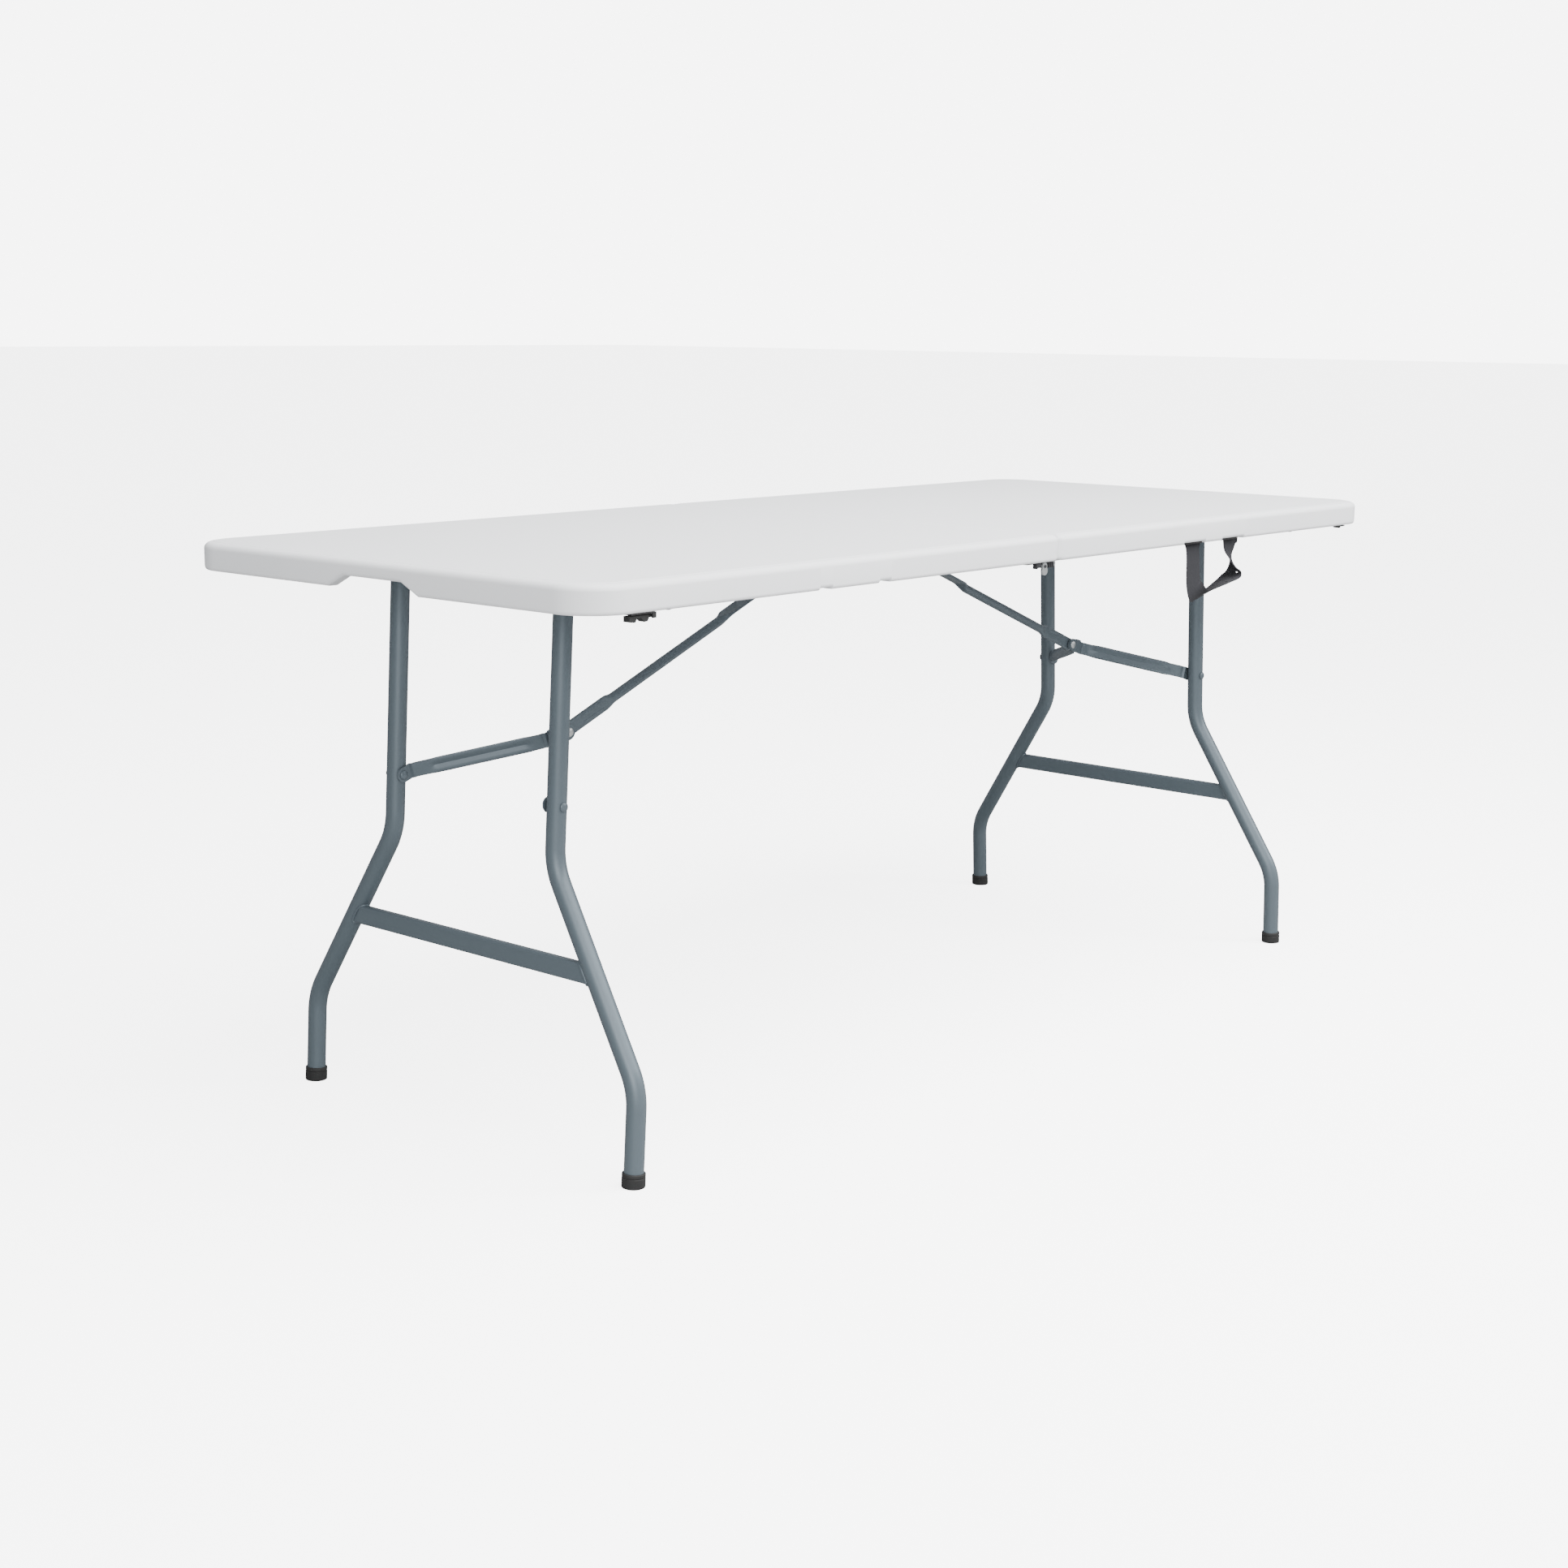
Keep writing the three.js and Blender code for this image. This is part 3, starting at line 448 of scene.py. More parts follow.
@dataclass(frozen=True)
class WebbingFinish(Finish):
    """Black woven polypropylene, its pattern laid out by the strap's own coordinates, with a painted highlight on
    the thread crowns and painted shade between them.
    """

    # painted shade between the threads, and a painted highlight on their crowns
    weave_gap_painted_shade: Colour = (0.0006, 0.0008, 0.0010)
    thread_crown_painted_highlight: Colour = (0.0030, 0.0042, 0.0050)

    def paint(self, graph: Graph, shader: Node) -> None:
        """Fills in what changes over the surface."""
        laid = graph.add("ShaderNodeUVMap", uv_map=UV_NAME).outputs["UV"]
        weave = SHELF.place(graph, Effect.WEAVE, Vector=laid, Across=820.0, Along=520.0)
        fuzz = graph.noise(self.place(graph), 2200.0, 3.0, 0.7)
        share = graph.math("MULTIPLY", weave.outputs["Thread"], graph.remap(fuzz, 0.3, 0.7, 0.45, 1.0))
        # painted highlight on the thread crowns, painted shade in the gaps between threads
        graph.feed(shader, "Base Color", graph.mix(share, rgba(self.weave_gap_painted_shade), rgba(self.thread_crown_painted_highlight)))
        graph.feed(shader, "Roughness", graph.remap(fuzz, 0.3, 0.7, 0.8, 1.0))
        height = graph.math("ADD", weave.outputs["Height"], graph.math("MULTIPLY", fuzz, 0.25))
        self.relief(graph, shader, height, 0.0004, 0.8)


FINISHES: dict[Slot, Finish] = {
    Slot.WHITE: MouldedFinish(Slot.WHITE, specular=0.4),
    Slot.HAMMERED: HammeredFinish(Slot.HAMMERED, coat=0.1, coat_roughness=0.1, specular=0.25),
    Slot.ZINC: ZincFinish(Slot.ZINC, metallic=0.9),
    Slot.BLACK_STEEL: DarkFinish(Slot.BLACK_STEEL, metallic=0.3, body=(0.009, 0.011, 0.013),
                                 gloss=(0.26, 0.44), scratch=0.5),
    Slot.BLACK_PLASTIC: DarkFinish(Slot.BLACK_PLASTIC, specular=0.2),
    Slot.WEBBING: WebbingFinish(Slot.WEBBING, ior=1.1),
}


# ---------------------------------------------------------------- solids
def ring(bm: BMesh, width: float, depth: float, radii: tuple[float, float], segments: int,
         place: Matrix) -> list[BMEdge]:
    """Adds a closed outline, a rectangle about the origin of its plane with rounded corners.

    Args:
        bm: the mesh that it goes in.
        width: its size along its own X.
        depth: its size along its own Y.
        radii: the corner radius at -X and at +X.
        segments: the edges of each corner.
        place: where the outline goes.

    Returns:
        The outline's edges.
    """
    fresh = bmesh.new()
    bmesh.ops.create_grid(fresh, x_segments=1, y_segments=1, size=0.5)
    bmesh.ops.scale(fresh, vec=(width, depth, 1.0), verts=fresh.verts)
    for sign, radius in zip((-1, 1), radii):
        corners = [v for v in fresh.verts if abs(v.co.x - sign * width / 2) < TINY]
        bmesh.ops.bevel(fresh, geom=corners, offset=radius, offset_type="OFFSET", segments=segments,
                        profile=0.5, affect="VERTICES", material=-1, clamp_overlap=False)
    bmesh.ops.delete(fresh, geom=fresh.faces[:], context="FACES_ONLY")
    bmesh.ops.transform(fresh, matrix=place, verts=fresh.verts)
    return absorb(bm, fresh)


def absorb(bm: BMesh, fresh: BMesh) -> list[BMEdge]:
    """Moves one mesh into another and returns the edges that it brought."""
    carrier = bpy.data.meshes.new("carrier")
    fresh.to_mesh(carrier)
    fresh.free()
    before = len(bm.edges)
    bm.from_mesh(carrier)
    bpy.data.meshes.remove(carrier)
    bm.edges.ensure_lookup_table()
    return bm.edges[before:]


def close_loop(bm: BMesh, edges: Iterable[BMEdge]) -> None:
    """Fills a closed outline with one face."""
    bmesh.ops.contextual_create(bm, geom=list(edges))


def skin(bm: BMesh, outlines: Sequence[list[BMEdge]], capped: bool = True,
         apart: Vector | None = None) -> None:
    """Joins outlines one after another into a tube.

    Args:
        bm: the mesh that they are in.
        outlines: the edges of each outline, in order.
        capped: whether the first and the last are filled.
        apart: a step by which they are held apart while they are joined, for outlines that lie level.
    """
    step = apart or Vector((0.0, 0.0, 0.0))
    rings = [list({v for edge in edges for v in edge.verts}) for edges in outlines]
    for i, verts in enumerate(rings):
        bmesh.ops.translate(bm, vec=step * i, verts=verts)
    for first, second in zip(outlines, outlines[1:]):
        bmesh.ops.bridge_loops(bm, edges=[*first, *second])
    for i, verts in enumerate(rings):
        bmesh.ops.translate(bm, vec=step * -i, verts=verts)
    if capped:
        close_loop(bm, outlines[0])
        close_loop(bm, outlines[-1])


def round_outline(bm: BMesh, radius: float, sides: int, place: Matrix) -> list[BMEdge]:
    """Adds a circle about the Z axis of a place and returns its edges."""
    made = bmesh.ops.create_circle(bm, segments=sides, radius=radius, matrix=place)
    return list({edge for vert in made["verts"] for edge in vert.link_edges})


def lathe(bm: BMesh, profile: Sequence[tuple[float, float]], steps: int = 40,
          place: Matrix | None = None) -> None:
    """Turns a profile of (radius, height) points, which starts and ends on the axis, about Z.

    Args:
        bm: the mesh that it goes in.
        profile: the points.
        steps: the faces round the piece.
        place: where the piece goes.
    """
    fresh = bmesh.new()
    points = [fresh.verts.new((radius, 0.0, height)) for radius, height in profile]
    edges = [fresh.edges.new(pair) for pair in zip(points, points[1:])]
    bmesh.ops.spin(fresh, geom=[*points, *edges], cent=(0, 0, 0), axis=(0, 0, 1), angle=2 * math.pi,
                   steps=steps, use_merge=True, use_duplicate=False)
    bmesh.ops.remove_doubles(fresh, verts=fresh.verts, dist=MERGE)
    bmesh.ops.recalc_face_normals(fresh, faces=fresh.faces)
    bmesh.ops.transform(fresh, matrix=place or Matrix.Identity(4), verts=fresh.verts)
    absorb(bm, fresh)


@dataclass
class TubeRun:
    """A tube drawn by pushing its end outline along straight runs and round bends."""

    bm: BMesh
    radius: float
    at: Vector
    heading: Vector
    sides: int = 36
    end: list[BMEdge] = field(default_factory=list)

    def __post_init__(self) -> None:
        """Draws the first outline and closes it."""
        turn = self.heading.to_track_quat("Z", "Y").to_matrix().to_4x4()
        self.end = round_outline(self.bm, self.radius, self.sides, Matrix.Translation(self.at) @ turn)
        self.first = list(self.end)

    def straight(self, length: float) -> "TubeRun":
        """Pushes the end forward."""
        step = self.heading * length
        made = bmesh.ops.extrude_edge_only(self.bm, edges=self.end)["geom"]
        self.end = [g for g in made if isinstance(g, BMEdge)]
        bmesh.ops.translate(self.bm, vec=step, verts=[g for g in made if isinstance(g, BMVert)])
        self.at = self.at + step
        return self

    def bend(self, towards: Vector, radius: float, steps: int = 12) -> "TubeRun":
        """Turns the end round a bend until it heads another way.

        Args:
            towards: the new heading.
            radius: the bend's radius, at the tube's middle.
            steps: the outlines in the bend.

        Returns:
            The run itself.
        """
        axis = self.heading.cross(towards).normalized()
        angle = self.heading.angle(towards)
        centre = self.at + axis.cross(self.heading).normalized() * radius
        points = list({v for edge in self.end for v in edge.verts})
        made = bmesh.ops.spin(self.bm, geom=[*points, *self.end], cent=centre, axis=axis, angle=angle,
                              steps=steps, use_merge=False, use_duplicate=False)["geom_last"]
        self.end = [g for g in made if isinstance(g, BMEdge)]
        self.at = centre + Matrix.Rotation(angle, 3, axis) @ (self.at - centre)
        self.heading = towards.normalized()
        return self

    def close(self) -> None:
        """Closes both ends."""
        close_loop(self.bm, self.first)
        close_loop(self.bm, self.end)


def bead(bm: BMesh, path: Sequence[Vector], radius: float, ripple: float = 0.0, sides: int = 10) -> None:
    """Adds a round bead along a closed path, with ripples like those of a weld.

    Args:
        bm: the mesh that it goes in.
        path: the points of the path, in order.
        radius: the bead's radius.
        ripple: how much every other outline is smaller, as a share.
        sides: the faces round the bead.
    """
    count = len(path)
    outlines = []
    for i, point in enumerate(path):
        heading = (path[(i + 1) % count] - path[i - 1]).normalized()
        turn = heading.to_track_quat("Z", "Y").to_matrix().to_4x4()
        size = radius * (1.0 - ripple * (i % 2))
        outlines.append(round_outline(bm, size, sides, Matrix.Translation(point) @ turn))
    skin(bm, outlines, capped=False)
    bmesh.ops.bridge_loops(bm, edges=[*outlines[-1], *outlines[0]])


@dataclass
class Piece:
    """A finished piece: its mesh, its finish, the body that it rides on and the nodes that it stands for."""

    name: str
    body: str
    slot: Slot
    stands_for: Sequence[str] = ()
    sharp: float = 38.0
    weighted: bool = True

    def finish(self, bm: BMesh, place: Matrix | None = None, outward: bool = True) -> Object:
        """Makes the object.

        Args:
            bm: its mesh, which is freed.
            place: a last move to where it goes.
            outward: whether its faces are turned outwards.

        Returns:
            The object, riding on its body.
        """
        bmesh.ops.remove_doubles(bm, verts=bm.verts, dist=TINY)
        if place is not None:
            bmesh.ops.transform(bm, matrix=place, verts=bm.verts)
        if outward:
            bmesh.ops.recalc_face_normals(bm, faces=bm.faces)
        limit = math.radians(self.sharp)
        for face in bm.faces:
            face.smooth = True
        for edge in bm.edges:
            edge.smooth = not (edge.is_manifold and edge.calc_face_angle(0.0) > limit)
        mesh = bpy.data.meshes.new(self.name)
        bm.to_mesh(mesh)
        bm.free()
        obj = bpy.data.objects.new(self.name, mesh)
        bpy.context.scene.collection.objects.link(obj)
        return self.dress(obj)

    def dress(self, obj: Object) -> Object:
        """Gives an object its finish and its body."""
        obj.data.materials.clear()
        obj.data.materials.append(FINISHES[self.slot].material())
        if self.weighted:
            shade = obj.modifiers.new("even_shading", "WEIGHTED_NORMAL")
            shade.keep_sharp = True
        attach(obj, self.body)
        if self.stands_for:
            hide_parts(*self.stands_for)
        LOG.info("%s rides on %s, %d faces", obj.name, self.body, len(obj.data.polygons))
        return obj


@dataclass
class SoftenedNode:
    """A flat-sided node whose shape is right, copied and given small rounded edges."""

    node: str
    body: str
    slot: Slot
    width: float = 0.0004
    segments: int = 2
    limit: float = 28.0

    def build(self) -> Object:
        """The piece that stands for the node."""
        bm = bmesh.new()
        bm.from_mesh(frame["nodes"][self.node].data)
        bmesh.ops.remove_doubles(bm, verts=bm.verts, dist=MERGE)
        bmesh.ops.dissolve_limit(bm, angle_limit=math.radians(1.0), verts=bm.verts, edges=bm.edges)
        piece = Piece(f"{self.node}_softened", self.body, self.slot, (self.node,),
                      sharp=180.0, weighted=False)
        obj = piece.finish(bm, outward=False)
        rounded = obj.modifiers.new("rounded_edges", "BEVEL")
        rounded.width = self.width
        rounded.segments = self.segments
        rounded.limit_method = "ANGLE"
        rounded.angle_limit = math.radians(self.limit)
        rounded.harden_normals = False
        shade = obj.modifiers.new("even_shading", "WEIGHTED_NORMAL")
        shade.keep_sharp = True
        return obj


# ---------------------------------------------------------------- places, all read from the frame
def middle(node: str) -> Vector:
    """The middle of a node's box."""
    low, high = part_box(node)
    return (low + high) / 2


def pivot(joint: str) -> Vector:
    """A joint's place."""
    return next(Vector(j["pos_m"]) for j in frame["joints"] if j["name"] == joint)


@dataclass
class EndPlaces:
    """Where the moving pieces of one end stand, drawn at the right end."""

    side: Side

    def __post_init__(self) -> None:
        """Reads the pivots and takes them to the right end."""
        back = self.side.turn.inverted()
        name = self.side.value
        self.hinge = back @ pivot(f"leg_fold_{name}")
        self.arm = back @ pivot(f"arm_turn_{name}")
        self.pin = back @ pivot(f"brace_turn_{name}")
        heads = [middle(f"knuckle_rivet_{name}_{row}") for row in ("front", "back")]
        self.knuckle = back @ ((heads[0] + heads[1]) / 2)
        mounts = frame["record"]["mounts"]
        self.foot = next(Vector(m["pos_m"]) for m in mounts if m["name"] == "foot_right_back")
        self.splay = math.atan2(self.arm.x - self.hinge.x, self.hinge.z - self.arm.z)

    @property
    def leg(self) -> Matrix:
        """The leg frame's own place: its hinge at the origin, its tubes in the YZ plane."""
        lean = Matrix.Rotation(-self.splay, 4, "Y")
        return self.side.turn @ Matrix.Translation(self.hinge) @ lean

    def link(self, start: Vector, end: Vector) -> Matrix:
        """The place of a link: X runs to its far pivot and Z is up."""
        x = (end - start).normalized()
        y = Vector((0.0, -1.0, 0.0))
        turn = Matrix((x, y, x.cross(y))).transposed().to_4x4()
        return self.side.turn @ Matrix.Translation(start) @ turn

    def along_leg(self, height: float) -> float:
        """The place of a height above the floor on the leaning leg's own Z."""
        return -(self.hinge.z - height) / math.cos(self.splay)


# ---------------------------------------------------------------- the moulded top
@dataclass
class MouldedHalf:
    """One half of the top: a plate with a deep rim, hollow underneath, dimpled where the two skins meet."""

    side: Side
    corner: float = 0.060
    seam_corner: float = 0.009
    corner_steps: int = 12
    wall: float = 0.018
    seam_wall: float = 0.009
    plate: float = 0.012
    shoulder: float = 0.0095
    shoulder_height: float = 0.0085
    seam_shoulder: float = 0.0062
    foot_round: float = 0.0035
    seam_foot_round: float = 0.0055
    foot_height: float = 0.0048
    lip: float = 0.0007
    lip_width: float = 0.0011
    lip_inset: float = 0.0117
    seam_lip_inset: float = 0.0078
    arc_steps: int = 6
    grip_base: float = 0.082
    grip_crown: float = 0.052
    grip_depth: float = 0.015
    notch_depth: float = 0.0025
    notch_slope: float = 0.0009
    dimple_pitch: tuple[float, float] = (0.0655, 0.0640)
    dimple_first: tuple[float, float] = (0.052, -0.288)
    dimple_counts: tuple[int, int] = (12, 9)
    dimple_margin: float = 0.010
    dimple_radii: tuple[float, float, float] = (0.0175, 0.0120, 0.0090)
    dimple_depths: tuple[float, float] = (0.0050, 0.0068)

    def __post_init__(self) -> None:
        """Reads the half's box, turned to the right end."""
        low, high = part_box(f"tabletop_{self.side.value}")
        xs = sorted(abs(x) for x in (low.x, high.x))
        self.seam_x, self.end_x = xs
        self.half_width = high.y
        self.low, self.top = low.z, high.z

    def outline(self, bm: BMesh, inset: float, seam_inset: float, height: float) -> list[BMEdge]:
        """Adds the half's outline at one height, set in from its edges."""
        x0, x1 = self.seam_x + seam_inset, self.end_x - inset
        depth = 2 * (self.half_width - inset)
        radii = (max(self.seam_corner - 0.6 * inset, 0.0025), self.corner - inset)
        place = Matrix.Translation(((x0 + x1) / 2, 0.0, height))
        return ring(bm, x1 - x0, depth, radii, self.corner_steps, place)

    def section(self) -> list[tuple[float, float, float]]:
        """The half's section from the underside to the top: (inset, inset at the seam, height)."""
        under = self.top - self.plate
        wall, seam = self.wall, self.seam_wall
        rows = [(wall + 0.0025, seam + 0.0025, under), (wall + 0.0007, seam + 0.0007, under - 0.0008),
                (wall, seam, under - 0.0026), (wall - 0.0004, seam - 0.0002, self.low + 0.0025),
                (wall - 0.0012, seam - 0.0008, self.low + 0.0007), (wall - 0.003, seam - 0.0022, self.low)]
        for i in range(self.arc_steps + 1):
            angle = math.pi / 2 * i / self.arc_steps
            shrink, rise = 1 - math.sin(angle), 1 - math.cos(angle)
            height = self.low + self.foot_height * rise
            rows.append((self.foot_round * shrink, self.seam_foot_round * shrink, height))
        crest = self.top - self.lip
        for i in range(self.arc_steps + 1):
            angle = math.pi / 2 * i / self.arc_steps
            shrink, rise = 1 - math.cos(angle), math.sin(angle) - 1
            height = crest + self.shoulder_height * rise
            rows.append((self.shoulder * shrink, self.seam_shoulder * shrink, height))
        rows.append((self.lip_inset, self.seam_lip_inset, crest))
        for share in (0.35, 0.8, 1.2):
            level = min(self.top, crest + self.lip * (share / 1.2) ** 0.8)
            width = self.lip_width * share
            rows.append((self.lip_inset + width, self.seam_lip_inset + width, level))
        return rows

    def rim_cuts(self) -> list[tuple[float, float]]:
        """The shallow cuts in the front rim of this half, along its drawing's X, read from the node."""
        mesh = frame["nodes"][f"tabletop_{self.side.value}"].data
        level = self.low + self.notch_depth
        near = -self.half_width + self.wall / 2
        far = self.end_x - self.corner
        xs = sorted({round(abs(v.co.x), 4) for v in mesh.vertices
                     if abs(v.co.z - level) < 2e-4 and v.co.y < near and abs(v.co.x) < far})
        return list(zip(xs[::2], xs[1::2]))

    def cut_across(self, bm: BMesh, axis: int, value: float, keep: Callable[[Vector], bool]) -> None:
        """Cuts the faces that a test picks with a plane across an axis."""
        normal = Vector((0.0, 0.0, 0.0))
        normal[axis] = 1.0
        faces = [f for f in bm.faces if keep(f.calc_center_median())]
        geom = [*faces, *{e for f in faces for e in f.edges}, *{v for f in faces for v in f.verts}]
        bmesh.ops.bisect_plane(bm, geom=geom, plane_co=normal * value, plane_no=normal)

    def lift(self, bm: BMesh, rise: float, keep: Callable[[Vector], bool]) -> None:
        """Raises the rim's lower edge where a test says so."""
        limit = self.low + self.foot_height + 0.0008
        verts = [v for v in bm.verts if v.co.z < limit and keep(v.co)]
        bmesh.ops.translate(bm, vec=(0.0, 0.0, rise), verts=verts)

    def cut_grip(self, bm: BMesh) -> None:
        """The hand-grip notch under the short end."""
        inner = self.end_x - self.wall - 0.004
        for sign in (-1, 1):
            for y in (self.grip_base, self.grip_crown):
                self.cut_across(bm, 1, sign * y, lambda c: c.x > inner and c.z < self.top - self.plate)
        self.lift(bm, self.grip_depth, lambda c: c.x > inner and abs(c.y) < self.grip_crown + TINY)

    def cut_notches(self, bm: BMesh) -> None:
        """The shallow cuts in the front rim."""
        toward = -self.side.sign
        inner = self.half_width - self.wall - 0.004
        for x0, x1 in self.rim_cuts():
            edges = (x0, x0 + self.notch_slope, x1 - self.notch_slope, x1)
            for x in edges:
                self.cut_across(bm, 0, x, lambda c: c.y * toward > inner and c.z < self.top - self.plate)
            self.lift(bm, self.notch_depth,
                      lambda c: edges[1] - TINY < c.x < edges[2] + TINY and c.y * toward > inner)

    def press_dimples(self, bm: BMesh) -> None:
        """Round dimples in the underside, where the lower skin is pressed up to meet the upper one."""
        under = self.top - self.plate
        on_plate = lambda c: abs(c.z - under) < TINY
        (dx, dy), (x0, y0), (nx, ny) = self.dimple_pitch, self.dimple_first, self.dimple_counts
        for i in range(nx + 1):
            self.cut_across(bm, 0, x0 + dx * (i - 0.5), on_plate)
        for j in range(ny + 1):
            self.cut_across(bm, 1, y0 + dy * (j - 0.5), on_plate)
        outer, mid, inner = self.dimple_radii
        cells = [f for f in bm.faces if on_plate(f.calc_center_median()) and len(f.verts) == 4
                 and abs(f.calc_area() - dx * dy) < TINY]
        margin = self.dimple_margin
        bmesh.ops.inset_individual(bm, faces=cells, thickness=margin, depth=0.0, use_even_offset=True)
        rims = {e for f in cells for e in f.edges}
        bmesh.ops.subdivide_edges(bm, edges=list(rims), cuts=3)

        def in_step(place: Vector) -> bool:
            """Whether a face's middle is a place of the pattern."""
            i, j = (place.x - x0) / dx, (place.y - y0) / dy
            return max(abs(i - round(i)), abs(j - round(j))) < 0.01

        round_faces = [f for f in bm.faces if on_plate(f.calc_center_median()) and len(f.verts) == 16
                       and in_step(f.calc_center_median())]
        for face in round_faces:
            centre = face.calc_center_median()
            for vert in face.verts:
                vert.co = centre + (vert.co - centre).normalized() * outer
        first, last = self.dimple_depths
        for narrower, rise in ((outer - mid, -first), (mid - inner, first - last)):
            bmesh.ops.inset_individual(bm, faces=round_faces, thickness=narrower, depth=rise,
                                       use_even_offset=True)
        LOG.info("%d dimples under the %s half", len(round_faces), self.side.value)

    def build(self) -> None:
        """Builds the half and lets it stand for its node."""
        bm = bmesh.new()
        outlines = [self.outline(bm, *row) for row in self.section()]
        skin(bm, outlines, apart=Vector((0.0, 0.0, 4.0)))
        bmesh.ops.recalc_face_normals(bm, faces=bm.faces)
        self.press_dimples(bm)
        self.cut_grip(bm)
        self.cut_notches(bm)
        name = self.side.value
        piece = Piece(f"moulded_half_{name}", f"half_{name}", Slot.WHITE, (f"tabletop_{name}",), sharp=50.0)
        piece.finish(bm, self.side.turn)


# ---------------------------------------------------------------- fixed hardware
@dataclass
class Underframe:
    """The steel screwed to one half: rails, leg brackets, hinge leaves, and the brace's bracket and pin."""

    side: Side
    screw_radius: float = 0.0042
    screw_height: float = 0.0021
    rail_screws: int = 7
    screw_run: tuple[float, float] = (0.06, 0.92)
    channel: float = 0.0016
    pin_edge: float = 0.0006

    def build(self) -> None:
        """Builds and dresses every piece."""
        name, body = self.side.value, f"half_{self.side.value}"
        for row in ("front", "back"):
            for kind in ("rail", "leg_bracket"):
                SoftenedNode(f"{kind}_{name}_{row}", body, Slot.HAMMERED).build()
            SoftenedNode(f"hinge_leaf_{name}_{row}", body, Slot.BLACK_STEEL, width=0.0003).build()
            self.build_screws(row)
        SoftenedNode(f"brace_bracket_{name}", body, Slot.HAMMERED).build()
        self.build_pin()

    def head(self, bm: BMesh, place: Matrix) -> None:
        """Adds a low domed screw head with a socket in it, standing on the origin of its place."""
        r, h = self.screw_radius, self.screw_height
        socket = [(0.0, h * 0.55), (r * 0.16, h * 0.55), (r * 0.24, h)]
        dome = [(r * 0.55, h * 0.93), (r * 0.86, h * 0.62), (r, h * 0.2), (r, 0.0), (0.0, 0.0)]
        lathe(bm, [*socket, *dome], 16, place)

    def build_screws(self, row: str) -> None:
        """The screws that hold a rail, in its channel."""
        name = self.side.value
        low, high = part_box(f"rail_{name}_{row}")
        bm = bmesh.new()
        level = high.z - self.channel
        flip = Matrix.Rotation(math.pi, 4, "X")
        first, last = self.screw_run
        for i in range(self.rail_screws):
            x = low.x + (high.x - low.x) * (first + (last - first) * i / (self.rail_screws - 1))
            self.head(bm, Matrix.Translation((x, (low.y + high.y) / 2, level)) @ flip)
        Piece(f"rail_screws_{name}_{row}", f"half_{name}", Slot.ZINC).finish(bm)

    def build_pin(self) -> None:
        """The headed pin that the brace turns on."""
        name = self.side.value
        low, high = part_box(f"brace_pin_{name}")
        centre, half, radius = (low + high) / 2, (high.y - low.y) / 2, (high.x - low.x) / 2
        edge = self.pin_edge
        profile = [(0.0, -half), (radius - edge, -half), (radius, -half + edge), (radius, half - edge),
                   (radius - edge, half), (0.0, half)]
        bm = bmesh.new()
        lathe(bm, profile, 32, Matrix.Translation(centre) @ Matrix.Rotation(math.pi / 2, 4, "X"))
        Piece(f"pivot_pin_{name}", f"half_{name}", Slot.ZINC, (f"brace_pin_{name}",)).finish(bm)


